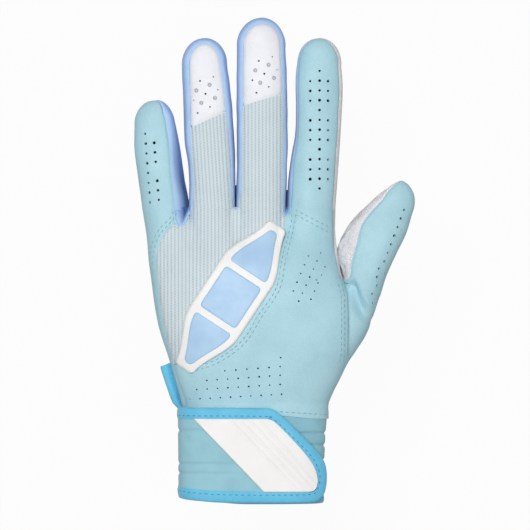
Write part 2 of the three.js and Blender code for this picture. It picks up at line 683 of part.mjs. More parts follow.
// Fingers and thumb
const wrapSeam = { left: [-30, -30], tip: 5, right: [68, 57] };
const littlePalm = { left: [-30, -30], tip: 5, right: [PALM_SEAM, PALM_SEAM] };
add('little_back', digitPanel(little, wrapSeam, LEATHER, 1), leatherAqua);
add('little_side', digitSide(little, wrapSeam, littlePalm, GUSSET, (at) => at.turn > 5), gussetBlue);
add('little_palm', digitPanel(little, littlePalm, LEATHER, -1), leatherWhite);

const ringSeam = { left: [28, 50], tip: 42, right: [34, 48] };
const middleSeam = { left: [37, 45], tip: 42, right: [30, 38] };
const bandPalm = { left: [PALM_SEAM, PALM_SEAM], tip: -25, right: [PALM_SEAM, PALM_SEAM] };
[
  ['ring', ring, ringSeam, RING_TIP_AT, RING_TIP_SLOPE],
  ['middle', middle, middleSeam, MIDDLE_TIP_AT, MIDDLE_TIP_SLOPE],
].forEach(
  ([name, digit, bandSeam, tipAt, slope]) => {
    const stop = (s) => tipAt + slope * s - SEAM_GAP / 2;
    const start = (s) => tipAt + slope * s + SEAM_GAP / 2;
    add(`${name}_back`, digitBack(digit, bandSeam, KNIT, stop), knitGrey);
    add(`${name}_tip`, digitPanel(digit, bandSeam, LEATHER, 1, start), leatherWhite);
    add(`${name}_side`, digitSide(digit, bandSeam, bandPalm, GUSSET), gussetBlue);
    add(`${name}_palm`, digitPanel(digit, bandPalm, LEATHER, -1), leatherWhite);
  },
);

const indexSeam = { left: [34, 18], tip: 8, right: [33, 33] };
const indexPalm = { left: [PALM_SEAM, PALM_SEAM], tip: 8, right: [33, 33] };
add('index_back', digitPanel(index, indexSeam, LEATHER, 1), leatherAqua);
add('index_side', digitSide(index, indexSeam, indexPalm, GUSSET, (at) => at.turn < -5), gussetBlue);
add('index_palm', digitPanel(index, indexPalm, LEATHER, -1), leatherWhite);

const thumbSeamRound = { left: [50, 62], tip: 15, right: [PALM_SEAM, PALM_SEAM] };
add('thumb_back', digitPanel(thumb, thumbSeamRound, LEATHER, 1), leatherAqua);
add('thumb_palm', digitPanel(thumb, thumbSeamRound, LEATHER, -1), leatherWhite);

// Strap
const inside = TAPE_WIDTH + SEAM_GAP;
const quilt = (share) => STRAP_TOP + ribs(share, STRAP_RIBS, STRAP_RIB);
const [panelLow, panelHigh] = [STRAP_LOW + inside, STRAP_HIGH - inside];
const panelUnder = () => STRAP_LIFT;
add(
  'strap_panel',
  strapSheet(panelLow, panelHigh, () => SEAM_GAP, inside, quilt, panelUnder, 16, 2 * STRAP_RIBS),
  ribbedAqua,
);
add('strap_binding', tape(), tapeBlue);
const patchLift = STRAP_TOP + STRAP_RIB + LAYER_GAP;
const patchFrom = (y) => lerp(48.5, 15, (y - STRAP_LOW) / (STRAP_HIGH - STRAP_LOW));
const patchInside = inside + 0.6;
const [patchLow, patchHigh] = [STRAP_LOW + patchInside, STRAP_HIGH - patchInside];
const [patchTop, patchUnder] = [() => patchLift + PATCH, () => patchLift];
add(
  'strap_patch',
  strapSheet(patchLow, patchHigh, patchFrom, patchInside, patchTop, patchUnder, 10, 6),
  mouldedWhite,
);
add('hook_pad', padRows(12, 34, 34, 9, HOOK_LIFT), padWhite);

// The glove is centred in plan and rests on the table.
const box = new THREE.Box3().setFromObject(glove);
const centre = box.getCenter(new THREE.Vector3());
glove.position.set(-centre.x, -centre.y, -box.min.z);

export default glove;
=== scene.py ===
import math
from collections import namedtuple

import bmesh
import bpy
from mathutils import Matrix, Vector, kdtree, noise
from mathutils.bvhtree import BVHTree


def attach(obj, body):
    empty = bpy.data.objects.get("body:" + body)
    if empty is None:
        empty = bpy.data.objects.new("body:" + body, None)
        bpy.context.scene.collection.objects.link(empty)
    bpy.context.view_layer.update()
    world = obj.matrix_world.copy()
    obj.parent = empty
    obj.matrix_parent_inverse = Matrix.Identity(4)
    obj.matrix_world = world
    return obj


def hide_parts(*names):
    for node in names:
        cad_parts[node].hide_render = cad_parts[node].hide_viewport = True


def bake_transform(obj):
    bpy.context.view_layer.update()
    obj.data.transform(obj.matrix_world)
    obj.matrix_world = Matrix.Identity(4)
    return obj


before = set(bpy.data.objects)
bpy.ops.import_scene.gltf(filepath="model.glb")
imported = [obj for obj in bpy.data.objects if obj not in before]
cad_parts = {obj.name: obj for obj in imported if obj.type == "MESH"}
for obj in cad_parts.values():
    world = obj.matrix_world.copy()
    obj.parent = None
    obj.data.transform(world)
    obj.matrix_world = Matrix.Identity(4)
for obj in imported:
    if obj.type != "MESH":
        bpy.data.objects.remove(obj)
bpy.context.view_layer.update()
scene = bpy.context.scene

# Sizes are in millimetres, in plan from the wrist hem, as in the part's source.
MM = 0.001
PLAN_CENTRE = (12.2991, 113.1688)
TO_FRAME = Matrix.Scale(MM, 4) @ Matrix.Translation((-PLAN_CENTRE[0], -PLAN_CENTRE[1], 0))

UP, DOWN = (0, 0, 1), (0, 0, -1)
LEFTWARD = (-1, 0, 0)
LEATHER = 1.2
KNIT = 1.3
GUSSET = 1.1
WRIST_Y = 44
KNUCKLE_Y = 137.5
HAND_WAIST = 12
FINGER_WAIST = 9
THUMB_WAIST = 10.5
CUFF_WAIST = 15
CUFF_TOP = 27
CUFF_FLOOR = 3.5
FLATTEN = 2
KNUCKLE_BLEND = 30
FINGER_ROUND = 2.3
HAND_ROUND = 2.6
CUFF_ROUND = 2.4
STRAP_ROUND = 3.4
CUFF_WALL = 2
CUFF_RIB = 0.4
HEM_WIDTH = 4
SLIT_FROM = 198
SLIT_TO = 212
PAD = 0.6
TAPE_THICK = 0.5
MOULDING_WALL = 0.7
STRAP_ROOT_WALL = 1.4
STRAP_WALL = 1.5
STRAP_LOW = 1.0
STRAP_HIGH = 44.6
STRAP_LENGTH = 80
STRAP_ROOT_RISE = 2.2
STRAP_LIFT = 2.5
STRAP_TOP = STRAP_LIFT + STRAP_WALL
TAPE_WIDTH = 5.2
TAPE_WALL = 0.4
PALM_SEAM = -35
PALM_WRAP = 11
CROTCH_Y = 104.4
CROTCH_LIFT = 3.8
MESH_FROM = 64.4
THUMB_SEAM_FROM = 64.2
THUMB_BASE_FROM = -36.6
EMBLEM_AT = (-8, 96)
EMBLEM_LEAN = 33.4
EMBLEM_HALF_LENGTH = 40
EMBLEM_HALF_WIDTH = 13.5
EMBLEM_END_HALF_WIDTH = 5
EMBLEM_BORDER = 3.2
EMBLEM_SLOT = 2.5
EMBLEM_BRIDGE = 5

# Soft detail of the panels
LAP = 1.2
HAND_LAP = 2.6
PALM_LAP = 0.8
BASE_TUCK = 0.12
HEM_SLOPE = 0.8
ROLL_DEPTH = 0.5
ROLL_WIDTH = 0.9
RIB_PITCH = 1.7
RIB_HEIGHT = 0.07
LOOP_PITCH = 1.25
KNIT_SINK = 0.15
HAND_EDGE = 14
PALM_EDGE = 12
THUMB_EDGE = 10
CREASE_DEPTH = 3.4
CREASE_WIDTH = 4.2
PEBBLE = 2.2
PEBBLE_DEPTH = 1.7
SEAM_LIFT = 0.35
HEM_FLARE = 0.9
HOLE = 0.68
SMALL_HOLE = 0.42
TIP_HOLE = 0.46
TIP_SEAM_BEND = 6
FORK_STEEP = 2.6
FORK_LEFT_SWEEP = 0.3
FORK_RIGHT_SWEEP = 0.55
FORK_LIP = 1.2
FORK_TUCK = 0.5
FORK_SAG = 1.4
WELD = 0.004


def lerp(a, b, share):
    return a + (b - a) * share


def clamp(value, low, high):
    return max(low, min(high, value))


def ease(value, low, high):
    share = clamp((value - low) / (high - low), 0.0, 1.0)
    return share * share * (3 - 2 * share)


def through(knots):
    """A smooth curve through (place, size) knots, level beyond its ends."""
    last = len(knots) - 1

    def slope(i):
        before, after = knots[max(i - 1, 0)], knots[min(i + 1, last)]
        return (after[1] - before[1]) / (after[0] - before[0])

    def curve(at):
        if at <= knots[0][0]:
            return knots[0][1]
        if at >= knots[last][0]:
            return knots[last][1]
        i = next(k for k in range(last + 1) if knots[k][0] > at) - 1
        span = knots[i + 1][0] - knots[i][0]
        s = (at - knots[i][0]) / span
        bend = s * (1 - s) * span * ((1 - s) * slope(i) - s * slope(i + 1))
        return lerp(knots[i][1], knots[i + 1][1], s * s * (3 - 2 * s)) + bend

    return curve


def cosine_of(angle):
    return math.cos(math.radians(angle))


def sine_of(angle):
    return math.sin(math.radians(angle))


def reach_of(angle, roundness):
    return abs(cosine_of(angle)) ** (2 / roundness)


def rise_of(angle, roundness):
    return abs(sine_of(angle)) ** (2 / roundness)


def angle_of(reach, roundness):
    cosine = math.copysign(min(abs(reach), 1.0) ** (roundness / 2), reach)
    return math.degrees(math.acos(clamp(cosine, -1, 1)))


def bulge(reach, roundness):
    return max(1 - min(reach, 1.0) ** roundness, 0.0) ** (1 / roundness)


def steps(count):
    """Even shares from 0 to 1."""
    return [i / count for i in range(count + 1)]


def aside(way):
    """The direction to the right of a way in plan."""
    return Vector((way.y, -way.x))


def hump(distance, width):
    """A soft swell that dies out over a width."""
    return math.exp(-((distance / width) ** 2))


def roll(distance):
    """How far an edge dips towards its seam, at a distance from it."""
    return ROLL_DEPTH * hump(max(distance, 0.0), ROLL_WIDTH)


def arc(angle, radius):
    """Distance round an edge of a radius."""
    return math.radians(angle) * radius


def calm(distance):
    """Unevenness dies out towards a fold, at a distance from it."""
    return ease(distance, 1, 10)


def crinkle(spot, size, height):
    """A gentle unevenness of soft material, with features of one size."""
    return height * noise.noise(Vector([part / size for part in spot]))


def crown_of(edge, width):
    """The round of a moulded edge, as a share of its height at a distance from the edge."""
    return math.sqrt(max(1 - (1 - clamp(edge / width, 0, 1)) ** 2, 0))


def line_at(line, share):
    """A seam's angle at a share of its length: a curve, or a straight run between two angles."""
    return line(share) if callable(line) else lerp(*line, share)


class Digit:
    """A soft tube lying on the table, with a straight spine in plan and a round tip."""

    def __init__(self, root, lean, length, tip_reach, left, right, height,
                 waist=FINGER_WAIST, square_fold=False, taper=0.0):
        self.root, self.waist, self.tip_reach, self.taper = root, waist, tip_reach, taper
        angle = math.radians(lean)
        self.along = Vector((math.sin(angle), math.cos(angle)))
        self.across = aside(self.along)
        self.left, self.right, self.height = through(left), through(right), through(height)
        self.length, self.centre = length, length - tip_reach
        self.slope = 0.0 if square_fold else math.tan(angle)
        self.edge = self.centre / (2 * self.centre + math.pi * tip_reach)

    def half(self, t, sign, inset=0.0):
        return (self.left(t) if sign < 0 else self.right(t)) - inset

    def level(self, t, angle, inset):
        rise = rise_of(angle, FINGER_ROUND)
        if angle >= 0:
            return self.waist + (self.height(t) - self.waist - inset) * rise
        return max(inset, self.waist - (self.waist + FLATTEN - inset) * rise)

    def spot(self, t, s, z):
        return Vector((
            self.root[0] + self.along.x * t + self.across.x * s,
            self.root[1] + self.along.y * t + self.across.y * s,
            z,
        ))

    def local(self, x, y):
        away = Vector((x - self.root[0], y - self.root[1]))
        return away.dot(self.along), away.dot(self.across)

    def fold(self, s):
        return self.slope * s - LAP

    def side(self, share, sign, angle, inset, start=None):
        start = start or self.fold
        at = lerp(start(0), self.centre, share)
        s = sign * self.half(at, sign, inset) * reach_of(angle, FINGER_ROUND)
        return self.spot(lerp(start(s), self.centre, share), s, self.level(at, angle, inset))

    def tip(self, turn, angle, inset):
        swing = sine_of(turn)
        wide = lerp(self.left(self.centre), self.right(self.centre), (1 + swing) / 2) - inset
        reach = reach_of(angle, FINGER_ROUND)
        t = self.centre + (self.tip_reach - inset) * reach * cosine_of(turn)
        if turn < 0:
            wide *= 1 - self.taper * cosine_of(turn)
        return self.spot(t, wide * reach * swing, self.level(self.centre, angle, inset))

    def turned(self, t, turn, inset):
        cosine = cosine_of(turn)
        s = math.copysign(self.half(t, cosine, inset) * reach_of(turn, FINGER_ROUND), cosine)
        return self.spot(t, s, self.level(t, 180 - turn if turn > 90 else turn, inset))

    def walk(self, u):
        """Side, share along it and turn round the tip, for a share of the outline from root to root."""
        if u <= self.edge:
            return -1, u / self.edge, -90.0
        if u >= 1 - self.edge:
            return 1, (1 - u) / self.edge, 90.0
        turn = lerp(-90, 90, (u - self.edge) / (1 - 2 * self.edge))
        return (-1 if turn < 0 else 1), 1.0, turn

    def outline(self, u, angle, inset, start=None):
        sign, share, turn = self.walk(u)
        if abs(turn) == 90:
            return self.side(share, sign, angle, inset, start)
        return self.tip(turn, angle, inset)

    def share_up(self, t):
        return clamp((t - self.fold(0)) / (self.centre - self.fold(0)), 0, 1)

    def seam_angle(self, u, seam, start=None):
        sign, share, turn = self.walk(u)
        line = seam["left"] if sign < 0 else seam["right"]
        if abs(turn) == 90:
            return line_at(line, self.share_up(lerp((start or self.fold)(0), self.centre, share)))
        bend = seam.get("bend", TIP_SEAM_BEND)
        return lerp(line_at(line, 1), seam["tip"], cosine_of(turn) ** bend)

    def section(self, x, y, inset, limit_left, limit_right, edge=None):
        """Top and bottom of the tube at a plan point. The hand's edge, at a distance, ends its roundness."""
        t, s = self.local(x, y)
        half = self.half(t, s, inset)
        reach = abs(s) / half
        reach = min(reach, lerp(limit_left if s < 0 else limit_right, 1, ease(reach, 1.2, 1.8)))
        if edge is not None:
            reach = max(reach, 1 - max(edge, 0) / half)
        swell = bulge(reach, FINGER_ROUND)
        top = self.waist + (self.height(t) - self.waist - inset) * swell
        return top, max(inset, self.waist - (self.waist + FLATTEN - inset) * swell)


LITTLE = Digit(
    (-38.7, KNUCKLE_Y), -6.5, 50.8, 11,
    [(0, 10.7), (14, 10.9), (27, 11.3), (40, 9.8)],
    [(0, 11.2), (4, 11.3), (8, 11), (14, 10.4), (27, 10.1), (40, 8.9)],
    [(0, 18.5), (40, 16)],
)
RING = Digit(
    (-15.8, KNUCKLE_Y), -3.6, 79.6, 12,
    [(0, 11.9), (5, 11.5), (11, 11), (20, 10.9), (33, 11.8), (48, 11.4), (67, 11)],
    [(0, 9.8), (11, 10.5), (22, 11.2), (45, 11.2), (56, 10.9), (67, 10.2)],
    [(0, 20), (67, 17)],
)
MIDDLE = Digit(
    (6.3, KNUCKLE_Y), 0, 88.94, 12.8,
    [(0, 11.9), (30, 11.5), (66, 11.7), (74, 11.6)],
    [(0, 11.3), (30, 12.2), (56, 11.9), (74, 11.2)],
    [(0, 20.5), (74, 17.5)],
)
INDEX = Digit(
    (29.6, KNUCKLE_Y), 3, 79.6, 12,
    [(0, 11.4), (10, 11.5), (20, 11.2), (32, 9.7), (41, 9.5), (50, 9.8), (60, 10.4), (67, 10.2)],
    [(0, 11.2), (22, 11.6), (37, 11.8), (56, 11.7), (67, 10.6)],
    [(0, 20), (67, 17)],
)
THUMB = Digit(
    (52.7, 101.3), 21.5, 52.8, 12,
    [(-50, 6), (-25, 7), (0, 9), (4, 12), (8, 15), (12.6, 16.8), (19.9, 16.6), (27.1, 15), (33, 12.6),
     (40.8, 8.9)],
    [(-50, 6.7), (-38.6, 7.1), (-29.6, 9.1), (-20.6, 10.7), (-4.6, 10.4), (10.4, 9.4), (28.4, 10.7),
     (40.8, 9.9)],
    [(-50, 18), (-30, 20), (-10, 20.5), (20, 20), (41, 17)],
    THUMB_WAIST, square_fold=True, taper=0.6,
)
FINGERS = (LITTLE, RING, MIDDLE, INDEX)
DIGITS = {
    "little_finger": LITTLE, "ring_finger": RING, "middle_finger": MIDDLE, "index_finger": INDEX,
    "thumb": THUMB,
}

hand_left = through([
    (44, -30.5), (50, -32), (58, -34.5), (66.6, -36.8), (74, -39.1), (85.3, -42.4),
    (100.2, -44.7), (111.4, -46.1), (122.6, -47.3), (KNUCKLE_Y, -49.4),
])
hand_right = through([
    (44, 36.8), (52, 40), (62, 45), (72, 50), (85, 52), (95, 50.5), (100, 47.5),
    (104.4, 44.4), (115, 42), (126, 40.8), (KNUCKLE_Y, 40.8),
])
hand_height = through([(44, 27), (60, 29), (85, 30), (110, 27.5), (KNUCKLE_Y, 22)])
hand_floor = through([(44, 3), (56, 0)])
ulnar_seam = through([
    (44, -28.5), (50, -30.3), (58, -33.2), (67, -35.8), (79.2, -38.6), (91.3, -40.7),
    (106.2, -42.5), (117, -42.6), (125, -39.5), (131, -34), (KNUCKLE_Y, -31),
])
back_seam = through([
    (62, -34.6), (64.4, -34.4), (65.4, -31), (69.2, -18), (77.7, -5.6), (89.4, 2),
    (101.1, 9.8), (114.2, 12.6), (122, 15.2), (127, 16.6), (132, 17.6), (KNUCKLE_Y, 17.9),
])
thumb_seam = through([(62, 44.6), (68, 45.9), (78, 46.2), (90, 46.2), (98, 45.9), (104.4, 44.2)])
cuff_left = through([(0, -28), (44, -28.4)])
cuff_right = through([(0, 34.4), (20, 35), (44, 36.6)])

# Forks between the fingers: both edges at the fold, the bottom of the notch and its depth at the fold. A saddle
# closes each: the digit that carries it, how far up it runs and how slowly its painted shade deepens from its
# left rim.
Fork = namedtuple("Fork", "left right bottom low depth body high slow")
FORKS = (
    Fork(-34.5, -26.4, -31.4, 129.0, 2.4, "ring_finger", 141.5, 0.42),
    Fork(-6.3, -5.1, -5.75, 136.9, 9, "ring_finger", 148.2, 1),
    Fork(16.3, 19.7, 17.6, 134.0, 9, "index_finger", 146, 1),
)


def fork_edges(fork, y):
    share = clamp((y - fork.low) / (KNUCKLE_Y - fork.low), 0, 1)
    left = lerp(fork.bottom, fork.left, share ** FORK_LEFT_SWEEP)
    return left, lerp(fork.bottom, fork.right, share ** FORK_RIGHT_SWEEP), share


def fork_dip(x, y):
    """How far the hand's back steps down inside a fork."""
    dip = 0.0
    for fork in FORKS:
        if y > fork.low:
            left, right, share = fork_edges(fork, y)
            depth = lerp(FORK_LIP, fork.depth, share)
            inside = max(min(x - left, right - x) + 0.2, 0.0)
            dip = max(dip, depth * (1 - math.exp(-inside * FORK_STEEP / depth)))
    return dip


def hand_span(y, inset):
    low, high = hand_left(y) + inset, hand_right(y) - inset
    return (low + high) / 2, (high - low) / 2


def hand_levels(x, y, inset=0.0):
    """Top and bottom of the hand at a plan point. Its back swells into the fingers at the knuckles."""
    middle, half = hand_span(y, inset)
    swell = bulge(abs(x - middle) / half, HAND_ROUND)
    top = HAND_WAIST + (hand_height(y) - HAND_WAIST - inset) * swell
    bottom = max(hand_floor(y) + inset, HAND_WAIST - (HAND_WAIST + FLATTEN - inset) * swell)
    near = ease(y, KNUCKLE_Y - KNUCKLE_BLEND, KNUCKLE_Y)
    if near == 0:
        return top, bottom
    depth = [lerp(0.82, 1.0, ease(y, fork.low - 3, fork.low + 5)) for fork in FORKS]
    limits = ((1.0, depth[0]), (depth[0], depth[1]), (depth[1], depth[2]), (depth[2], 1.0))
    edges = (x - middle + half, None, None, middle + half - x)
    sections = [
        finger.section(x, y, inset, *limit, edge) for finger, limit, edge in zip(FINGERS, limits, edges)
    ]
    return (
        max(lerp(top, max(section[0] for section in sections), near) - fork_dip(x, y), FINGER_WAIST - inset),
        lerp(bottom, min(section[1] for section in sections), near),
    )


def hand_spot(y, turn, inset):
    """Turn round the hand: 0 thumb edge, 90 back, 180 little-finger edge, 270 palm."""
    middle, half = hand_span(y, inset)
    cosine = cosine_of(turn)
    x = middle + math.copysign(half * reach_of(turn, HAND_ROUND), cosine)
    top, bottom = hand_levels(x, y, inset)
    return Vector((x, y, top if sine_of(turn) >= 0 else bottom))


def turn_at(x, y):
    middle, half = hand_span(y, 0)
    return angle_of((x - middle) / half, HAND_ROUND)


def cuff_spot(y, turn, offset, roundness=CUFF_ROUND):
    low, high = cuff_left(y) - offset, cuff_right(y) + offset
    cosine, rise = cosine_of(turn), rise_of(turn, roundness)
    x = (low + high) / 2 + math.copysign((high - low) / 2 * reach_of(turn, roundness), cosine)
    if sine_of(turn) >= 0:
        return Vector((x, y, CUFF_WAIST + (CUFF_TOP - CUFF_WAIST + offset) * rise))
    return Vector((x, y, CUFF_WAIST - (CUFF_WAIST - CUFF_FLOOR + offset) * rise))


def lengths_along(line):
    """Distance along a line at each of its spots."""
    lengths = [0.0]
    for a, b in zip(line, line[1:]):
        lengths.append(lengths[-1] + (b - a).length)
    return lengths


# The strap is laid out flat: distance round the wrist from its peel line, and distance from the hem.
ARC_STEPS = 200
ARC_SPAN = 2.064
ARC_LEVEL = 22
ARC_SHARES = [1 - ARC_SPAN * i / ARC_STEPS for i in range(ARC_STEPS + 1)]
ARC_TURNS = [90 + 90 * math.copysign(abs(share) ** (STRAP_ROUND / 2), share) for share in ARC_SHARES]
ARC_LENGTHS = lengths_along([cuff_spot(ARC_LEVEL, turn, STRAP_TOP, STRAP_ROUND) for turn in ARC_TURNS])


def strap_spot(u, y, offset, roundness=STRAP_ROUND):
    i = next((k for k in range(1, ARC_STEPS + 1) if ARC_LENGTHS[k] > u), ARC_STEPS)
    share = (u - ARC_LENGTHS[i - 1]) / (ARC_LENGTHS[i] - ARC_LENGTHS[i - 1])
    return cuff_spot(y, lerp(ARC_TURNS[i - 1], ARC_TURNS[i], share), offset, roundness)


def rounded(line, times):
    """A line with its corners cut, so that it runs in smooth bends. Its ends stay."""
    for _ in range(times):
        cut = [line[0]]
        for a, b in zip(line, line[1:]):
            cut += [a.lerp(b, 0.25), a.lerp(b, 0.75)]
        line = cut + [line[-1]]
    return line


STRAP_EDGE = rounded([Vector(spot) for spot in (
    (0.3, STRAP_HIGH), (49.5, STRAP_HIGH), (53.6, STRAP_HIGH - 0.7), (62.8, 35.4), (71, 27.3),
    (76, 22.6), (78.8, 18.5), (STRAP_LENGTH, 14), (STRAP_LENGTH, 9.5), (78.6, 4.6), (75, 1.6),
    (70, STRAP_LOW), (30, STRAP_LOW), (16, STRAP_LOW + 1.1), (0.3, STRAP_LOW + STRAP_ROOT_RISE),
)], 2)


def evenly(line, count):
    """Points spread evenly along a line, each with its direction."""
    lengths = lengths_along(line)
    found, k = [], 0
    for i in range(count + 1):
        at = lengths[-1] * i / count
        while k < len(line) - 2 and lengths[k + 1] < at:
            k += 1
        share = clamp((at - lengths[k]) / max(lengths[k + 1] - lengths[k], 1e-9), 0, 1)
        ahead, behind = line[min(k + 2, len(line) - 1)], line[max(k - 1, 0)]
        found.append((line[k].lerp(line[k + 1], share), (ahead - behind).normalized()))
    return found


TAPE_STEPS = 240
TAPE_RUN = evenly(STRAP_EDGE, TAPE_STEPS)


def tape_width(spot):
    """The tape is broader round the strap's free end."""
    return TAPE_WIDTH + 1.2 * ease(spot.x, STRAP_LENGTH - 9, STRAP_LENGTH - 1)


def strap_reach(y, border):
    """How far the strap runs at a distance from the hem, inside a border."""
    reach = 0.0
    inner = [spot + aside(way) * border for spot, way in TAPE_RUN]
    for a, b in zip(inner, inner[1:]):
        if abs(a.y - b.y) > 1e-6 and 0 <= (a.y - y) / (a.y - b.y) <= 1:
            reach = max(reach, lerp(a.x, b.x, (a.y - y) / (a.y - b.y)))
    return reach


# Finishes

def srgb(colour):
    parts = [part / 255 for part in colour]
    return (*[p / 12.92 if p <= 0.04045 else ((p + 0.055) / 1.055) ** 2.4 for p in parts], 1.0)


class Finish:
    """A procedural material, put together node by node."""

    def __init__(self, name, roughness, specular, sheen=0.0):
        self.material = bpy.data.materials.new(name)
        self.material.use_nodes = True
        self.tree = self.material.node_tree
        self.shader = self.tree.nodes["Principled BSDF"]
        self.shader.inputs["Roughness"].default_value = roughness
        self.shader.inputs["Specular IOR Level"].default_value = specular
        self.shader.inputs["Sheen Weight"].default_value = sheen
        coordinates = self.tree.nodes.new("ShaderNodeTexCoord")
        self.place = coordinates.outputs["Object"]
        self.weave = coordinates.outputs["UV"]

    def node(self, kind, inputs=None, **settings):
        made = self.tree.nodes.new(kind)
        for name, value in settings.items():
            setattr(made, name, value)
        for name, value in (inputs or {}).items():
            if isinstance(value, bpy.types.NodeSocket):
                self.tree.links.new(value, made.inputs[name])
            else:
                made.inputs[name].default_value = value
        return made

    def noise(self, size, detail=3.0):
        return self.node("ShaderNodeTexNoise", {
            "Vector": self.place, "Scale": 1 / (size * MM), "Detail": detail, "Roughness": 0.55,
        }).outputs["Fac"]

    def cells(self, size, feature="DISTANCE_TO_EDGE"):
        return self.node("ShaderNodeTexVoronoi", {
            "Vector": self.place, "Scale": 1 / (size * MM),
        }, feature=feature).outputs["Distance"]

    def woven_ways(self):
        """The two parts of the weave map."""
        parts = self.node("ShaderNodeSeparateXYZ", {"Vector": self.weave}).outputs
        return parts["X"], parts["Y"]

    def math(self, operation, a, b=0.0):
        return self.node("ShaderNodeMath", {0: a, 1: b}, operation=operation).outputs[0]

    def mixed(self, a, share_a, b, share_b):
        """Two patterns added, each in its share."""
        return self.math("ADD", self.math("MULTIPLY", a, share_a), self.math("MULTIPLY", b, share_b))

    def wave(self, kind, value, pitch=1.0):
        """A row of round swells with a pitch."""
        return self.math("ABSOLUTE", self.math(kind, self.math("MULTIPLY", value, math.pi / pitch)))

    def span(self, value, low, high, to_low=0.0, to_high=1.0):
        return self.node("ShaderNodeMapRange", {
            "Value": value, "From Min": low, "From Max": high, "To Min": to_low, "To Max": to_high,
        }).outputs["Result"]

    def ramp(self, value, *stops):
        made = self.node("ShaderNodeValToRGB", {"Fac": value})
        points = made.color_ramp.elements
        while len(points) < len(stops):
            points.new(0.5)
        for point, (place, colour) in zip(points, stops):
            point.position, point.color = place, srgb(colour)
        return made.outputs["Color"]

    def paint(self, colour):
        self.tree.links.new(colour, self.shader.inputs["Base Color"])

    def gloss(self, value):
        self.tree.links.new(value, self.shader.inputs["Roughness"])

    def relief(self, height, depth):
        bump = self.node("ShaderNodeBump", {"Height": height, "Distance": depth * MM, "Strength": 1.0})
        self.tree.links.new(bump.outputs["Normal"], self.shader.inputs["Normal"])
        return self.material


def leather(name, light, dark, grain, depth, worn):
    """Smooth leather: pebbled grain, slow changes of tone and fine creases."""
    made = Finish(name, 0.5, 0.4)
    pebble = made.span(made.cells(grain), 0.0, 0.35)
    made.paint(made.ramp(made.mixed(made.noise(14), 0.65, pebble, worn), (0.2, dark), (0.62, light)))
    made.gloss(made.span(made.noise(6), 0.3, 0.7, 0.44, 0.6))
    return made.relief(made.mixed(pebble, 0.6, made.noise(1.6, 4), 0.8), depth)


def knitted(name, light, dark):
    """Fine knit: shallow ribs with small staggered gaps between their loops. Painted shade darkens the gaps and
    the grooves between the ribs.
    """
    made = Finish(name, 0.85, 0.2, 0.15)
    across, along = made.woven_ways()
    odd = made.math("MULTIPLY", made.math("ROUND", across), 0.5)
    groove, step = made.wave("COSINE", across), made.wave("COSINE", made.math("ADD", along, odd))
    # The gaps and the lines along the rib grooves are painted shade in the colour, and relief in the bump.
    gap = made.math("MULTIPLY", made.math("POWER", groove, 4.0), made.math("POWER", step, 3.0))
    line = made.math("MULTIPLY", made.math("POWER", groove, 6.0), 0.5)
    open_weave_and_shade = made.math("MAXIMUM", gap, line)
    made.paint(made.ramp(made.mixed(open_weave_and_shade, 0.8, made.noise(9), 0.25), (0.12, light), (0.8, dark)))
    return made.relief(made.math("SUBTRACT", 1.0, open_weave_and_shade), 0.2)


def woven(name, light, dark, size, depth, lean=0.0, edge=None, painted_shade_tone=None):
    """Close fabric: a fine twill with a slow change of tone. Given an edge tone and a shade tone, it also
    carries painted shade: darker across its width and towards the root.
    """
    made = Finish(name, 0.8, 0.25, 0.2)
    waves = []
    for turn in (lean + 0.6, lean - 0.9):
        turned = made.node("ShaderNodeMapping", {"Vector": made.place, "Rotation": (0.35, 0.25, turn)})
        waves.append(made.node("ShaderNodeTexWave", {
            "Vector": turned.outputs["Vector"], "Scale": 0.31 / (size * MM), "Distortion": 0.6,
        }).outputs["Fac"])
    thread = made.math("MULTIPLY", made.math("ADD", *waves), 0.5)
    colour = made.ramp(made.mixed(thread, 0.35, made.noise(8), 0.65), (0.25, dark), (0.65, light))
    # Painted shade: across its width the cloth turns from its own tone to the shade tone, which is darkest
    # towards the root.
    if painted_shade_tone:
        to_root, across = made.woven_ways()
        far = made.ramp(to_root, (0.1, edge), (0.75, painted_shade_tone))
        colour = made.node("ShaderNodeMix", {
            "Factor": made.span(across, 0.12, 0.48), "A": colour, "B": far,
        }, data_type="RGBA").outputs["Result"]
    made.paint(colour)
    return made.relief(thread, depth)


def corded(name, light, dark, pitch, depth):
    """Binding tape: fine cords across its run, which the weave map measures in millimetres."""
    made = Finish(name, 0.55, 0.35, 0.25)
    cord = made.wave("SINE", made.woven_ways()[1], pitch)
    made.paint(made.ramp(made.mixed(cord, 0.3, made.noise(7), 0.7), (0.25, dark), (0.7, light)))
    return made.relief(cord, depth)


def moulded(name, light, dark, roughness):
    """Moulded rubber: a faint mould grain and slightly dulled high spots."""
    made = Finish(name, roughness, 0.45)
    made.paint(made.ramp(made.noise(11, 4), (0.3, dark), (0.65, light)))
    made.gloss(made.span(made.noise(4), 0.3, 0.7, roughness - 0.05, roughness + 0.08))
    return made.relief(made.noise(0.5, 2), 0.05)


def pile(name, light, dark, size, depth):
    """Hook or loop pile: short tufts, close together."""
    made = Finish(name, 0.9, 0.15, 0.3)
    tuft = made.cells(size, "F1")
    made.paint(made.ramp(tuft, (0.1, light), (0.8, dark)))
    return made.relief(made.math("SUBTRACT", 1.0, tuft), depth)


def thread(name, light, dark):
    """Sewing thread: fine twisted plies."""
    made = Finish(name, 0.6, 0.3, 0.2)
    ply = made.node("ShaderNodeTexWave", {
        "Vector": made.place, "Scale": 900.0, "Distortion": 1.0,
    }).outputs["Fac"]
    made.paint(made.ramp(ply, (0.2, dark), (0.8, light)))
    return made.relief(ply, 0.08)


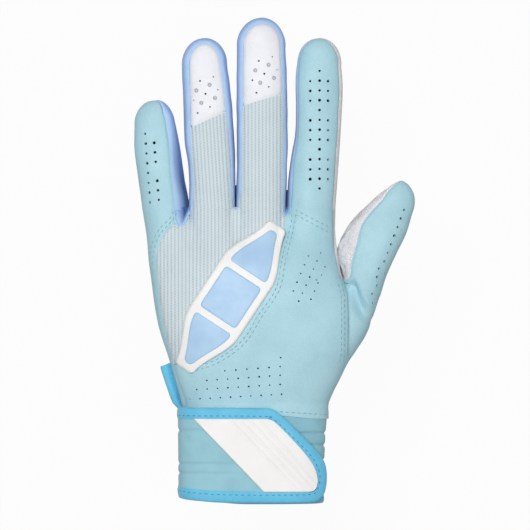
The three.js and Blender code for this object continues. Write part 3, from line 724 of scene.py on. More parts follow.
AQUA_LEATHER = leather("aqua_leather", (176, 216, 227), (160, 202, 214), 0.9, 0.05, 0.25)
WHITE_LEATHER = leather("white_leather", (238, 237, 240), (198, 196, 203), 0.75, 0.16, 0.45)
TIP_LEATHER = leather("tip_leather", (240, 241, 245), (228, 229, 235), 0.8, 0.05, 0.25)
# Painted shade: a grey for the embossed rings on the fingertips.
RING_SHADE_LEATHER = leather("ring_painted_shade", (192, 194, 202), (172, 174, 184), 0.8, 0.03, 0.25)
KNIT_CLOTH = knitted("knit_cloth", (209, 221, 226), (178, 196, 203))
# Painted shade: the gusset cloth darkens across its band, away from the back seam, and most near the fingers'
# roots.
SHADED_GUSSET_CLOTH = woven(
    "gusset_cloth_painted_shade", (184, 213, 248), (168, 200, 240), 0.45, 0.06, edge=(126, 164, 226), painted_shade_tone=(56, 92, 148),
)
TAPE_CLOTH = corded("tape_cloth", (107, 198, 231), (92, 181, 219), 0.55, 0.06)
# Painted shade: the wrist cloth made a shade darker for the cuff band, which lies under the hand's hem.
SHADED_BAND_CLOTH = woven("band_cloth_painted_shade", (146, 195, 209), (130, 179, 195), 0.5, 0.05, 0.3)
WRIST_CLOTH = woven("wrist_cloth", (156, 203, 216), (140, 187, 202), 0.5, 0.05, 0.3)
WHITE_RUBBER = moulded("white_rubber", (241, 240, 239), (237, 236, 235), 0.5)
BLUE_RUBBER = moulded("blue_rubber", (176, 208, 236), (162, 197, 230), 0.45)
LOOP_PILE = pile("loop_pile", (232, 237, 239), (190, 200, 205), 0.7, 0.35)
HOOK_PILE = pile("hook_pile", (222, 229, 232), (176, 188, 194), 0.9, 0.45)
LINING = woven("lining_cloth", (96, 116, 125), (74, 94, 104), 0.6, 0.05)
AQUA_THREAD = thread("aqua_thread", (150, 196, 204), (120, 170, 180))
BLUE_THREAD = thread("blue_thread", (48, 128, 172), (30, 100, 146))

# What a panel is cut from: its slot, its finishes from the outside in, and its wall.
Stuff = namedtuple("Stuff", "slot finishes wall")
AQUA = Stuff("aqua_leather", [AQUA_LEATHER, LINING], LEATHER)
WHITE = Stuff("white_leather", [WHITE_LEATHER, LINING], LEATHER)
WHITE_TIP = Stuff("white_leather", [TIP_LEATHER, LINING], LEATHER)
PALE_KNIT = Stuff("knit", [KNIT_CLOTH, LINING], KNIT)
BLUE_CLOTH = Stuff("gusset", [SHADED_GUSSET_CLOTH, LINING], GUSSET)
BLUE_TAPE = Stuff("tape", [TAPE_CLOTH], TAPE_THICK)


# Making of pieces

def shown(name, data):
    """A new object, put into the scene."""
    made = bpy.data.objects.new(name, data)
    scene.collection.objects.link(made)
    return made


def finished(name, bm, finishes, wall=0.0):
    """A piece made from a mesh in millimetres. A wall grows inwards, and the last finish lies inside."""
    bmesh.ops.transform(bm, matrix=TO_FRAME, verts=bm.verts)
    for face in bm.faces:
        face.smooth = True
    for edge in bm.edges:
        edge.smooth = not edge.is_boundary
    mesh = bpy.data.meshes.new(name)
    bm.to_mesh(mesh)
    bm.free()
    piece = shown(name, mesh)
    for finish in finishes:
        mesh.materials.append(finish)
    if wall:
        thick = piece.modifiers.new("wall", "SOLIDIFY")
        thick.thickness = wall * MM
        thick.offset = -1
        thick.use_rim = True
        thick.material_offset = len(finishes) - 1
        thick.material_offset_rim = 0
    return piece


def laid(columns, rows, place, outside=UP, sample=(0.5, 0.5), weave=None):
    """A grid laid over place(u, v). Its faces turn to the outside, which is given for a sample of the grid."""
    bm = bmesh.new()
    bmesh.ops.create_grid(bm, x_segments=columns, y_segments=rows, size=0.5)
    weave_map = bm.loops.layers.uv.new("weave")
    shares = {}
    for vert in bm.verts:
        u, v = clamp(vert.co.x + 0.5, 0, 1), clamp(vert.co.y + 0.5, 0, 1)
        shares[vert] = (u, v)
        vert.co = place(u, v)
    for face in bm.faces:
        for loop in face.loops:
            u, v = shares[loop.vert]
            loop[weave_map].uv = weave(u, v, loop.vert.co) if weave else (u, v)
    bm.normal_update()
    u, v = sample
    nearest = min(bm.verts, key=lambda vert: abs(shares[vert][0] - u) + abs(shares[vert][1] - v))
    if nearest.normal.dot(Vector(outside)) < 0:
        bmesh.ops.reverse_faces(bm, faces=bm.faces)
    bmesh.ops.remove_doubles(bm, verts=bm.verts, dist=WELD)
    bm.normal_update()
    return bm


UPPER_FACE = 0.15
HOLE_SEARCH = 2.6
RING_COUNT = 8


def punched(bm, spots, radius):
    """Round holes at plan spots of the upper face. The mesh round each spot is drawn into a ring first."""
    tops = [vert for vert in bm.verts if vert.normal.z > UPPER_FACE and not vert.is_boundary]
    tree = kdtree.KDTree(len(tops))
    for i, vert in enumerate(tops):
        tree.insert((vert.co.x, vert.co.y, 0), i)
    tree.balance()
    used, cut = set(), []
    for number, (x, y) in enumerate(spots):
        _, i, distance = tree.find((x, y, 0))
        centre = tops[i]
        ring = {vert for face in centre.link_faces for vert in face.verts} - {centre}
        if distance > HOLE_SEARCH or len(ring) != RING_COUNT or ring & used or centre in used:
            continue
        normal = centre.normal.copy()
        drawn = Vector((x - centre.co.x, y - centre.co.y, 0))
        drawn.z = -(normal.x * drawn.x + normal.y * drawn.y) / normal.z
        middle = centre.co + drawn
        wider = {vert for inner in ring for face in inner.link_faces for vert in face.verts} - ring - used
        for vert in wider:
            if not vert.is_boundary:
                vert.co += drawn * 0.5
        side = normal.orthogonal().normalized()
        other = normal.cross(side)

        def bearing(vert):
            away = vert.co - centre.co
            return math.atan2(away.dot(other), away.dot(side))

        order = sorted(ring, key=bearing)
        step = math.tau / RING_COUNT
        first = sum(bearing(vert) - k * step for k, vert in enumerate(order)) / RING_COUNT
        size = radius * (0.85 + 0.3 * (number * 0.618 % 1))
        for k, vert in enumerate(order):
            at = first + k * step
            vert.co = middle + size * (math.cos(at) * side + math.sin(at) * other)
        used |= ring | {centre}
        cut.append(centre)
    bmesh.ops.delete(bm, geom=cut, context="VERTS")


def cut_size(place, turned=False):
    """Longest run of a panel each way, measured over its face."""
    marks = steps(24)
    wide = max(lengths_along([place(u, v) for u in marks])[-1] for v in marks[::4])
    long = max(lengths_along([place(u, v) for v in marks])[-1] for u in marks[::4])
    return (long, wide) if turned else (wide, long)


def to_frame(spot):
    return tuple(TO_FRAME @ Vector(spot))


def carried(piece, body):
    """The hand and the strap carry their pieces. A digit's pieces have their placing baked into their meshes.
    """
    if body not in DIGITS:
        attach(piece, body)
        return
    start = DIGITS[body].spot(0, 0, 0)
    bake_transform(piece)


SURFACES = {}
ABOVE = 60


def panel(name, node, stuff, body, place, grid, outside=UP, sample=(0.5, 0.5), flat=None,
          weave=None, holes=(), hole=HOLE):
    """A sewn panel that stands for its node. The size that it was cut to is worked out but not used."""
    bm = laid(*grid, place, outside, sample, weave)
    if holes:
        punched(bm, holes, hole)
    area = sum(face.calc_area() for face in bm.faces)
    SURFACES[node] = BVHTree.FromBMesh(bm)
    width, length = flat or cut_size(place)
    piece = finished(name, bm, stuff.finishes, stuff.wall)
    carried(piece, body)
    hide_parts(node)


def moulding(name, node, finish, body, place, grid):
    """A moulded piece on a panel."""
    piece = finished(name, laid(*grid, place), [finish], MOULDING_WALL)
    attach(piece, body)
    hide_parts(node)


# Hand panels

def knit_weave(x, y):
    return x / RIB_PITCH, y / LOOP_PITCH


def knit_inset(x, edge, clear):
    """The knit's ribs, which reach their height clear of its seams."""
    rib = RIB_HEIGHT * math.sin(math.pi * x / RIB_PITCH) ** 2
    return roll(edge) + KNIT_SINK - rib * ease(edge, 0.2, clear)


def hand_mesh_place(u, v):
    y = lerp(MESH_FROM, KNUCKLE_Y, v)
    x = lerp(ulnar_seam(y), back_seam(y), u)
    edge = min(abs(x - ulnar_seam(y)), abs(x - back_seam(y)))
    inset = knit_inset(x, edge, 1.5) + calm(KNUCKLE_Y - y) * crinkle((x, y, 3), 16, 0.25)
    return Vector((x, y, hand_levels(x, y, inset)[0]))


panel("hand_knit", "hand_mesh", PALE_KNIT, "hand", hand_mesh_place, (230, 70),
      weave=lambda u, v, spot: knit_weave(spot.x, spot.y))


def back_left(y):
    return turn_at(back_seam(y), y) if y > MESH_FROM else turn_at(ulnar_seam(y), y)


def back_right(y):
    if y < THUMB_SEAM_FROM:
        return PALM_SEAM
    if y >= CROTCH_Y:
        return PALM_WRAP
    return lerp(PALM_SEAM, turn_at(thumb_seam(y), y), ease(y, THUMB_SEAM_FROM, THUMB_SEAM_FROM + 5))


HAND_STEPS = 104
LAP_STEPS = 4
HAND_ROWS = sorted(
    [lerp(WRIST_Y, KNUCKLE_Y, share) for share in steps(HAND_STEPS)]
    + [THUMB_SEAM_FROM - 0.2, THUMB_SEAM_FROM, CROTCH_Y - 0.2, CROTCH_Y]
)
BACK_ROWS = [lerp(WRIST_Y - HAND_LAP, WRIST_Y, share) for share in steps(LAP_STEPS)[:-1]] + HAND_ROWS
BACK_GUIDE = 46
BACK_SEAM_SHARE = 0.06
BACK_SIDE_FROM = 0.82


def hand_back_place(u, v):
    """The hand's back. Its columns follow the knit's seam, then lie even, then turn down the thumb's side."""
    y = BACK_ROWS[round(v * (len(BACK_ROWS) - 1))]
    at = max(y, WRIST_Y)
    first, last = back_left(at), back_right(at)
    guide = max(back_seam(at), ulnar_seam(at)) + 4
    if u < BACK_SEAM_SHARE:
        turn = lerp(first, turn_at(guide, at), u / BACK_SEAM_SHARE)
    elif u < BACK_SIDE_FROM:
        share = (u - BACK_SEAM_SHARE) / (BACK_SIDE_FROM - BACK_SEAM_SHARE)
        turn = turn_at(lerp(guide, hand_spot(at, BACK_GUIDE, 0).x, share), at)
    else:
        turn = lerp(BACK_GUIDE, last, (u - BACK_SIDE_FROM) / (1 - BACK_SIDE_FROM))
    near = arc(turn - last, HAND_EDGE)
    bare = hand_spot(at, turn, 0)
    left_edge = back_seam if at > MESH_FROM else ulnar_seam
    inset = roll(bare.x - left_edge(at)) + calm(KNUCKLE_Y - at) * crinkle(bare, 15, 0.3)
    if THUMB_SEAM_FROM <= at < CROTCH_Y:
        lifted = ease(near, 0, 2) * (1 - ease(near, 4, 12)) * ease(at, 64, 72) * (1 - ease(at, 98, 104))
        inset -= SEAM_LIFT * lifted
    else:
        inset += roll(near)
    inset -= HEM_FLARE * ease(WRIST_Y + 3 - y, 0, 4)
    lap = (y - at) * (1 + HEM_SLOPE * ease(bare.x, 8, 38))
    if at < THUMB_SEAM_FROM:
        lap *= lerp(0.15, 1, ease(near, 0, 5))
    return hand_spot(at, turn, inset) + Vector((0, lap, 0))


def hole_line(start, step, count, skipped=()):
    """A row of holes in plan, with some left out."""
    return [(start[0] + step[0] * i, start[1] + step[1] * i) for i in range(count) if i not in skipped]


BACK_HOLES = [spot for row in (
    ((28, 115.1), (-1.75, -4.05), 5), ((33.8, 116.5), (-1.71, -3.72), 7), ((35.8, 110), (-1.65, -3.73), 5),
    ((15.2, 68), (0, 0), 1), ((-10.7, 61.9), (5.12, 0.39), 6), ((-19.1, 57.4), (4.86, 0.35), 8),
    ((-23.8, 53.1), (4.84, 0.31), 9), ((-27, 48.6), (4.73, 0.27), 10),
) for spot in hole_line(*row)]
panel("hand_leather", "hand_back", AQUA, "hand", hand_back_place, (90, len(BACK_ROWS) - 1),
      sample=(0.3, 0.5), holes=BACK_HOLES, hole=SMALL_HOLE)


def ulnar_place(u, v):
    y = lerp(WRIST_Y, KNUCKLE_Y, v)
    first, last = turn_at(ulnar_seam(y), y), 180 - PALM_SEAM
    turn = lerp(first, last, u)
    bare = hand_spot(y, turn, 0)
    edge = min(abs(bare.x - ulnar_seam(y)) if turn < 180 else 9, arc(last - turn, PALM_EDGE))
    return hand_spot(y, turn, roll(edge) + crinkle(bare, 14, 0.25))


panel("ulnar_leather", "ulnar_side", AQUA, "hand", ulnar_place, (26, 90), LEFTWARD)


SOLVE_STEPS = 6


def thumb_seam_turn(t):
    """The turn round the thumb at which the hand's seam lies over it."""
    s = 0.0
    for _ in range(SOLVE_STEPS):
        spot = THUMB.spot(t, s, 0)
        s += (thumb_seam(spot.y) + 0.2 - spot.x) / THUMB.across.x
    return angle_of(s / THUMB.half(t, s), FINGER_ROUND)


def pebbled(spot):
    """The crumpled face of the thumb's white leather."""
    return 0.35 + crinkle(spot, PEBBLE, PEBBLE_DEPTH)


CREASE_FROM, CREASE_TO = Vector((47, 105)), Vector((56.5, 86))


def thumb_crease(spot):
    """The soft crease at the thumb's root: steep on one side, fading towards its ends."""
    way, away = CREASE_TO - CREASE_FROM, spot.xy - CREASE_FROM
    share = away.dot(way) / way.length_squared
    width = CREASE_WIDTH * (0.35 if away.cross(way) < 0 else 1)
    swell = hump((away - way * share).length, width)
    return CREASE_DEPTH * swell * ease(share, -0.2, 0.3) * (1 - ease(share, 0.7, 1.2))


def thumb_base_place(u, v):
    """The panel over the thumb's root. Its first strip climbs under the edge of the hand's back."""
    t = lerp(THUMB_BASE_FROM, 0.2, v)
    first, last = thumb_seam_turn(t) + 6, PALM_SEAM
    turn = lerp(first, last, max(u - BASE_TUCK, 0) / (1 - BASE_TUCK))
    bare = THUMB.turned(t, turn, 0)
    folds = 0.5 * ease(t, -22, -4) * math.sin(0.55 * t + 0.35 * (bare.x - 50)) * ease(turn, 5, 50)
    uneven = crinkle(bare, 12, 0.35) + folds * 0.5
    inset = roll(arc(turn - last, THUMB_EDGE)) + uneven * ease(-t, 0, 6)
    inset += thumb_crease(bare) * ease(turn, PALM_SEAM + 8, PALM_SEAM + 40)
    spot = THUMB.turned(t, turn, inset + 0.15)
    if u >= BASE_TUCK:
        return spot
    x = thumb_seam(spot.y) - 1.4
    tucked = Vector((x, spot.y, hand_levels(x, spot.y, LEATHER + 0.25)[0]))
    return tucked.lerp(spot, u / BASE_TUCK)


def thumb_holes(low, high):
    """The thumb's holes between two distances along it."""
    spots = hole_line((72.7, 136.5), (-1.53, -4.0), 7) + [
        (60.9, 109.2), (60.1, 105.3), (60, 101.3), (57.8, 97.4), (63.8, 106.9), (60.6, 96), (58.1, 93.2),
    ]
    return [spot for spot in spots if low < THUMB.local(*spot)[0] <= high]


panel("thumb_root_leather", "thumb_base", AQUA, "hand", thumb_base_place, (46, 44), (1, 0, 0.3),
      holes=thumb_holes(-40, -1))


def palm_fold_x(y):
    s = (y - THUMB.root[1]) / THUMB.across.y
    return THUMB.spot(0, s, 0).x


def edge_at(digit, y, t, edge):
    """Where an edge of a digit lies in plan at a distance from the hem, followed from a first guess."""
    for _ in range(SOLVE_STEPS):
        t += (y - edge(t).y) / digit.along.y
    return edge(t).x


def palm_thumb_edge(y):
    return edge_at(THUMB, y, 0.0, lambda t: THUMB.turned(t, PALM_SEAM, 0))


PALM_FOLD_FROM = THUMB.turned(0, PALM_SEAM, 0).y
PALM_ROWS = HAND_ROWS + [KNUCKLE_Y + PALM_LAP]


def palm_place(u, v):
    """The palm. Its last row runs on inside the fingers."""
    row = PALM_ROWS[round(v * (len(PALM_ROWS) - 1))]
    y = min(row, KNUCKLE_Y)
    return palm_spot(u, y) + Vector((0, 1, 1)) * (row - y)


def palm_spot(u, y):
    uneven = crinkle((u * 60, y, 0), 11, 0.2)
    wraps = y >= CROTCH_Y
    if u <= 0.5:
        turn = lerp(180 - PALM_SEAM, 270, 2 * u)
        return hand_spot(y, turn, roll(arc(turn - 180 + PALM_SEAM, PALM_EDGE)) + max(uneven, 0))
    if wraps or y < THUMB_SEAM_FROM:
        last = 360 + (PALM_WRAP if wraps else PALM_SEAM)
        turn = lerp(270, last, 2 * u - 1)
        return hand_spot(y, turn, roll(arc(last - turn, PALM_EDGE)) + uneven * ease(turn, 280, 340))
    edge = palm_thumb_edge(y)
    if y >= PALM_FOLD_FROM:
        edge = min(palm_fold_x(y), edge)
    x = lerp(hand_spot(y, 270, 0).x, edge, 2 * u - 1)
    low = min(hand_levels(x, y)[1], THUMB.section(x, y, 0, 1, 1)[1], CROTCH_LIFT)
    return Vector((x, y, low + max(uneven, 0)))


panel("palm_leather", "hand_palm", WHITE, "hand", palm_place, (84, len(PALM_ROWS) - 1), DOWN)


def finger_edge(digit, y, sign):
    return edge_at(digit, y, y - digit.root[1], lambda t: digit.spot(t, sign * digit.half(t, sign), 0))


FORK_PIECES = {body: [] for body in DIGITS}


def fork_piece(number, fork, left, right):
    """The blue saddle that closes a fork and runs on between the two fingers."""
    def on_hand(y):
        return y < KNUCKLE_Y + 0.6

    def place(u, v):
        y = lerp(fork.low + 0.1, fork.high, v)
        if on_hand(y):
            x = lerp(*fork_edges(fork, y)[:2], u)
            return Vector((x, y, hand_levels(x, min(y, KNUCKLE_Y), -0.3)[0]))
        x = lerp(finger_edge(left, y, 1) - FORK_TUCK, finger_edge(right, y, -1) + FORK_TUCK, u)
        return Vector((x, y, FINGER_WAIST + 0.4 - FORK_SAG * math.sin(math.pi * u)))

    # Painted shade: this weave map darkens the saddle's cloth away from its rims, into the fork.
    def weave(u, v, spot):
        low, high, _ = fork_edges(fork, spot.y)
        rim = min((spot.x - low) * fork.slow, high - spot.x, (spot.y - fork.low) * 0.8)
        return 1, clamp(rim / 4, 0, 1) if on_hand(spot.y) else 1

    saddle = laid(26, 44, place, (0, -0.2, 1), weave=weave)
    piece = finished(f"fork_gusset_{number}", saddle, [SHADED_GUSSET_CLOTH], 0.7)
    carried(piece, fork.body)
    FORK_PIECES[fork.body].append(piece)


for number, (fork, left, right) in enumerate(zip(FORKS, FINGERS, FINGERS[1:]), 1):
    fork_piece(number, fork, left, right)


WEB_FROM, WEB_TO = 104, 119.5
WEB_TUCK = 0.9
WEB_LEVEL = 9.6


def thumb_web_place(u, v):
    """The web between the hand and the thumb, sagging in the middle."""
    sag = math.sin(math.pi * u)
    y = lerp(WEB_FROM, WEB_TO - 2.5 * sag, v)
    x = lerp(hand_right(y) - WEB_TUCK, finger_edge(THUMB, y, -1) + WEB_TUCK, u)
    return Vector((x, y, WEB_LEVEL - 1.6 * sag))


web_piece = finished("thumb_web", laid(12, 36, thumb_web_place), [WHITE_LEATHER], 0.9)
carried(web_piece, "thumb")


# Raised overlay on the back of the hand

OVERLAY_CORNER = 2.2
OVERLAY_ROUND = 0.9


def overlay_piece(name, node, finish, first, last, border, lift, thickness, grid):
    lean = math.radians(EMBLEM_LEAN)
    along = Vector((math.sin(lean), math.cos(lean)))

    def half_width(s):
        share = ease(abs(s), EMBLEM_HALF_LENGTH * 0.35, EMBLEM_HALF_LENGTH)
        corner = clamp((OVERLAY_CORNER - min(s - first, last - s)) / OVERLAY_CORNER, 0, 1)
        width = lerp(EMBLEM_HALF_WIDTH, EMBLEM_END_HALF_WIDTH, share) - border
        return width - OVERLAY_CORNER * (1 - math.sqrt(1 - corner * corner))

    def place(u, v):
        s = lerp(first, last, v)
        c = lerp(-1, 1, u) * half_width(s)
        x = EMBLEM_AT[0] + along.x * s + along.y * c
        y = EMBLEM_AT[1] + along.y * s - along.x * c
        edge = min(half_width(s) - abs(c), s - first, last - s)
        raised = -(lift + thickness * crown_of(edge, OVERLAY_ROUND))
        beside = [hand_levels(x + aside, y, raised)[0] for aside in (-EMBLEM_BRIDGE, EMBLEM_BRIDGE)]
        return Vector((x, y, max(hand_levels(x, y, raised)[0], sum(beside) / 2)))

    moulding(name, node, finish, "hand", place, grid)


overlay_piece("overlay_plate", "emblem_plate", WHITE_RUBBER,
              -EMBLEM_HALF_LENGTH, EMBLEM_HALF_LENGTH, 0, 0.35, 1.3, (48, 120))
inlay_half = EMBLEM_HALF_LENGTH - EMBLEM_BORDER
inlay_length = (2 * inlay_half - 2 * EMBLEM_SLOT) / 3
for cell in range(3):
    start = -inlay_half + cell * (inlay_length + EMBLEM_SLOT)
    overlay_piece(f"overlay_inlay_{cell + 1}", f"emblem_inlay_{cell + 1}", BLUE_RUBBER,
                  start, start + inlay_length, EMBLEM_BORDER, 1.3, 0.8, (32, 44))


# Digits

def digit_panel(digit, seam, up, start=None, ripple=0.25, dent=None):
    """The back or the palm of a digit, from its seam to the middle."""
    def place(u, v):
        base = digit.seam_angle(u, seam, start)
        angle = lerp(base, up * 90, v ** 1.15)
        away = arc(abs(angle - base), digit.waist)
        bare = digit.outline(u, angle, 0, start)
        t, s = digit.local(bare.x, bare.y)
        inset = roll(away) + calm(t) * crinkle(bare, 13, ripple)
        if dent:
            inset += dent(bare) * ease(away, 1, 6)
        if start:
            inset += roll(t - start(s))
        return digit.outline(u, angle, inset if up > 0 else max(inset, 0), start)
    return place


def digit_side(digit, back_line, palm_line, hollow, first=0.0, last=1.0):
    """The strip between two seams. It folds in a little, most of all near the root."""
    def place(u, v):
        u = lerp(first, last, u)
        top, low = digit.seam_angle(u, back_line), digit.seam_angle(u, palm_line)
        angle = lerp(top, low, v)
        away = arc(min(top - angle, angle - low), digit.waist)
        bare = digit.outline(u, angle, 0)
        fold = clamp((top - angle) / max(top, 1), 0, 1)
        sunk = hollow * math.sin(math.pi * fold) * (1 - ease(digit.walk(u)[1], 0.45, 1.0))
        inset = roll(away) * 0.8 + crinkle(bare, 9, 0.25) + sunk
        return digit.outline(u, angle, inset)
    return place


def knit_back(digit, seam, stop):
    """The knit on a finger's back, up to the seam of its tip."""
    def place(u, v):
        at = lerp(-LAP, stop(0), v)
        angles = [line_at(seam[side], digit.share_up(at)) for side in ("left", "right")]
        spans = [reach_of(angle, FINGER_ROUND) for angle in angles]
        low, high = -digit.left(at) * spans[0], digit.right(at) * spans[1]
        s = lerp(low, high, u)
        t = lerp(digit.fold(s), stop(s), v)
        edge = min(s - low, high - s, stop(s) - t)
        inset = knit_inset(digit.root[0] + s, edge, 1.4)
        inset += calm(t) * crinkle((s, t, digit.root[0]), 14, 0.2)
        angle = angle_of(abs(s) / digit.half(at, s), FINGER_ROUND)
        return digit.spot(t, s, digit.level(at, angle, inset))

    def weave(u, v, spot):
        t, s = digit.local(spot.x, spot.y)
        return knit_weave(digit.root[0] + s, digit.root[1] + t)

    return place, weave


def rootward(digit, first=0.0, last=1.0):
    """A weave map that measures a gusset from the tip to the root, and across. The gusset cloth reads it for
    its painted shade.
    """
    return lambda u, v, spot: (1 - digit.walk(lerp(first, last, u))[1], v)


def closing(root, tip, dip):
    """A seam that turns down at the root, where two fingers close in on a fork."""
    return lambda share: lerp(root, tip, share) - dip * (1 - ease(share, 0, 0.12))


AT_PALM = (PALM_SEAM, PALM_SEAM)
WRAP_SEAM = {"left": (-30, -30), "tip": 5, "right": (68, 57)}
LITTLE_PALM = {"left": (-30, -30), "tip": 5, "right": AT_PALM}
RING_SEAM = {"left": (34, 50), "tip": 42, "right": closing(34, 48, 25)}
MIDDLE_SEAM = {"left": closing(37, 45, 25), "tip": 42, "right": closing(30, 38, 6)}
BAND_PALM = {"left": AT_PALM, "tip": -25, "right": AT_PALM}
INDEX_SEAM = {"left": closing(34, 18, 6), "tip": 8, "right": (26, 29)}
INDEX_PALM = {"left": AT_PALM, "tip": 8, "right": (26, 29)}
thumb_seam_angle = through([
    (0, 22), (0.06, 48), (0.12, 56), (0.31, 60.5), (0.44, 59), (0.62, 50.5), (0.7, 48), (0.86, 50), (1, 53),
])
THUMB_SEAM = {"left": thumb_seam_angle, "tip": 8, "bend": 1.4, "right": AT_PALM}
LEATHER_SAMPLE = (0.5, 0.8)


def leather_back(name, body, place, grid, flat, holes):
    panel(f"{name}_leather", f"{name}_back", AQUA, body, place, grid, UP, LEATHER_SAMPLE, flat, holes=holes)


def leather_palm(name, body, place, grid, flat):
    panel(f"{name}_palm_leather", f"{name}_palm", WHITE, body, place, grid, DOWN, LEATHER_SAMPLE, flat)


def gusset(name, digit, seams, hollow, part, grid, outside, sample, flat):
    """The blue side of a finger, over a part of its outline."""
    body = f"{name}_finger"
    panel(f"{name}_gusset", f"{name}_side", BLUE_CLOTH, body, digit_side(digit, *seams, hollow, *part), grid,
          outside, sample, flat, rootward(digit, *part))


LITTLE_HOLES = hole_line((-48, 172), (0.33, -4.57), 8) + hole_line((-43.7, 167.8), (0.36, -4.43), 7, (3,))
leather_back("little", "little_finger", digit_panel(LITTLE, WRAP_SEAM, 1), (120, 26), (32, 52), LITTLE_HOLES)
gusset("little", LITTLE, (WRAP_SEAM, LITTLE_PALM), 1.6, (0.502, 1.0), (70, 22), (1, 0, 0), (0.8, 0.4), (20, 56))
leather_palm("little", "little_finger", digit_panel(LITTLE, LITTLE_PALM, -1), (110, 14), (24, 52))

RING_TUBE = 0.4
RING_RADIUS = 0.62
RING_SIDES = 6
RING_STEPS = 14


def ring_spot(step, side):
    """A corner of a ring that lies flat round the origin."""
    turn, lean = math.tau * step / RING_STEPS, math.tau * side / RING_SIDES
    reach = RING_RADIUS + RING_TUBE * math.sin(lean)
    return Vector((reach * math.cos(turn), reach * math.sin(turn), RING_TUBE * math.cos(lean)))


def eyelets(name, spots, node, body):
    """Small embossed rings on the face of a panel. Their grey is painted shade, standing for the shadow in each
    embossed ring.
    """
    bm = bmesh.new()
    for x, y in spots:
        spot, normal, _, _ = SURFACES[node].ray_cast(Vector((x, y, ABOVE)), Vector(DOWN))
        seat = Matrix.Translation(spot) @ normal.to_track_quat("Z", "Y").to_matrix().to_4x4()
        rows = [
            [bm.verts.new(seat @ ring_spot(step, side)) for side in range(RING_SIDES)]
            for step in range(RING_STEPS)
        ]
        for step in range(RING_STEPS):
            for side in range(RING_SIDES):
                before, after = rows[step - 1], rows[step]
                bm.faces.new((before[side - 1], after[side - 1], after[side], before[side]))
    bmesh.ops.recalc_face_normals(bm, faces=bm.faces)
    carried(finished(name, bm, [RING_SHADE_LEATHER]), body)


def at_corner(corner, spots):
    return [(corner[0] + x, corner[1] + y) for x, y in spots]


TIP_HOLES = [(0, 0), (-6.3, -1.9), (2.1, -6), (-3.7, -7.9), (-9.3, -10.9), (-1.6, -14), (-7.4, -16.8)]
TIP_RINGS = [(-1.8, -3.7), (-7.9, -6.3), (0.7, -9.8), (-5.6, -12.1)]
for name, digit, seam, tip_at, tip_slope, corner, knit_rows in (
    ("ring", RING, RING_SEAM, 41.2, 0.38, (-16.1, 198.5), 52),
    ("middle", MIDDLE, MIDDLE_SEAM, 50.2, 0.3, (11.3, 207.8), 62),
):
    def tip_start(s, at=tip_at, slope=tip_slope):
        return at + slope * s

    body = f"{name}_finger"
    knit_place, knit_map = knit_back(digit, seam, tip_start)
    panel(f"{name}_knit", f"{name}_back", PALE_KNIT, body, knit_place, (64, knit_rows), weave=knit_map)
    panel(f"{name}_tip_leather", f"{name}_tip", WHITE_TIP, body, digit_panel(digit, seam, 1, tip_start, 0.15),
          (96, 11), UP, LEATHER_SAMPLE, (20, 38), holes=at_corner(corner, TIP_HOLES), hole=TIP_HOLE)
    eyelets(f"{name}_tip_rings", at_corner(corner, TIP_RINGS), f"{name}_tip", body)
    gusset(name, digit, (seam, BAND_PALM), 0.0, (0.0, 1.0), (150, 20), LEFTWARD, (0.1, 0.4), (18, 190))
    leather_palm(name, body, digit_panel(digit, BAND_PALM, -1), (130, 14), (24, 80))

INDEX_HOLES = hole_line((33.3, 201.3), (0, -4.57), 13)
for x in (28.9, 37.3):
    INDEX_HOLES += hole_line((x, 196.5), (0, -4.57), 11, (3, 7))
leather_back("index", "index_finger", digit_panel(INDEX, INDEX_SEAM, 1), (150, 22), (26, 80), INDEX_HOLES)
gusset("index", INDEX, (INDEX_SEAM, INDEX_PALM), 0.3, (0.0, 0.498), (90, 20), LEFTWARD, (0.2, 0.4), (18, 84))
leather_palm("index", "index_finger", digit_panel(INDEX, INDEX_PALM, -1), (150, 20), (36, 80))

leather_back("thumb", "thumb", digit_panel(THUMB, THUMB_SEAM, 1, None, 0.35, thumb_crease), (130, 26), (34, 54),
             thumb_holes(-1, 50))
leather_palm("thumb", "thumb", digit_panel(THUMB, THUMB_SEAM, -1, None, 0.6, pebbled), (130, 26), (40, 54))


# Wrist band

def pillow(y, grooves, height, width=0.8):
    """A quilted swell between sewn grooves."""
    sink = max(hump(y - groove, width) for groove in grooves)
    return height * (1 - sink)


CUFF_GROOVES = (4, 12, 20, 27, 32.6, 42)


def cuff_band_place(u, v):
    y = lerp(HEM_WIDTH - 1, WRIST_Y + 0.6, v)
    turn = lerp(SLIT_TO - 360, SLIT_FROM, u)
    bare = cuff_spot(y, turn, 0)
    swell = pillow(y, CUFF_GROOVES, 0.75) - 0.3
    return cuff_spot(y, turn, swell - roll(WRIST_Y - y) + crinkle(bare, 12, 0.25))


# The band's cloth carries painted shade for the hem's shadow over the cuff.
panel("wrist_band", "cuff_band", Stuff("ribbed", [SHADED_BAND_CLOTH, LINING], CUFF_WALL), "hand", cuff_band_place,
      (150, 90), (0.3, 0, 1))

FOLD_FLAT = 0.42
FOLD_TURN = 0.5


def folded(share, width, top, under, edge):
    """A folded tape's section: distance in from the edge and height, from its upper to its lower border."""
    if share < FOLD_FLAT:
        flat = share / FOLD_FLAT
        return lerp(width, FOLD_TURN, flat), top + 0.35 * math.sin(math.pi * clamp(flat, 0.02, 0.98))
    if share > 1 - FOLD_FLAT:
        return lerp(FOLD_TURN, width, (share - 1 + FOLD_FLAT) / FOLD_FLAT), under
    swing = math.pi * (share - FOLD_FLAT) / (1 - 2 * FOLD_FLAT)
    middle, half = (top + under) / 2, (top - under) / 2
    return FOLD_TURN - (FOLD_TURN + edge) * math.sin(swing), middle + half * math.cos(swing)


def hem_place(u, v):
    turn = lerp(SLIT_TO - 360, SLIT_FROM, u)
    inward, offset = folded(v, HEM_WIDTH, CUFF_RIB + 0.25, -CUFF_WALL - TAPE_WALL, 0.0)
    spot = cuff_spot(inward, turn, offset)
    return spot + Vector((0, 1.6 * ease(-spot.x, 0, 26), 0))


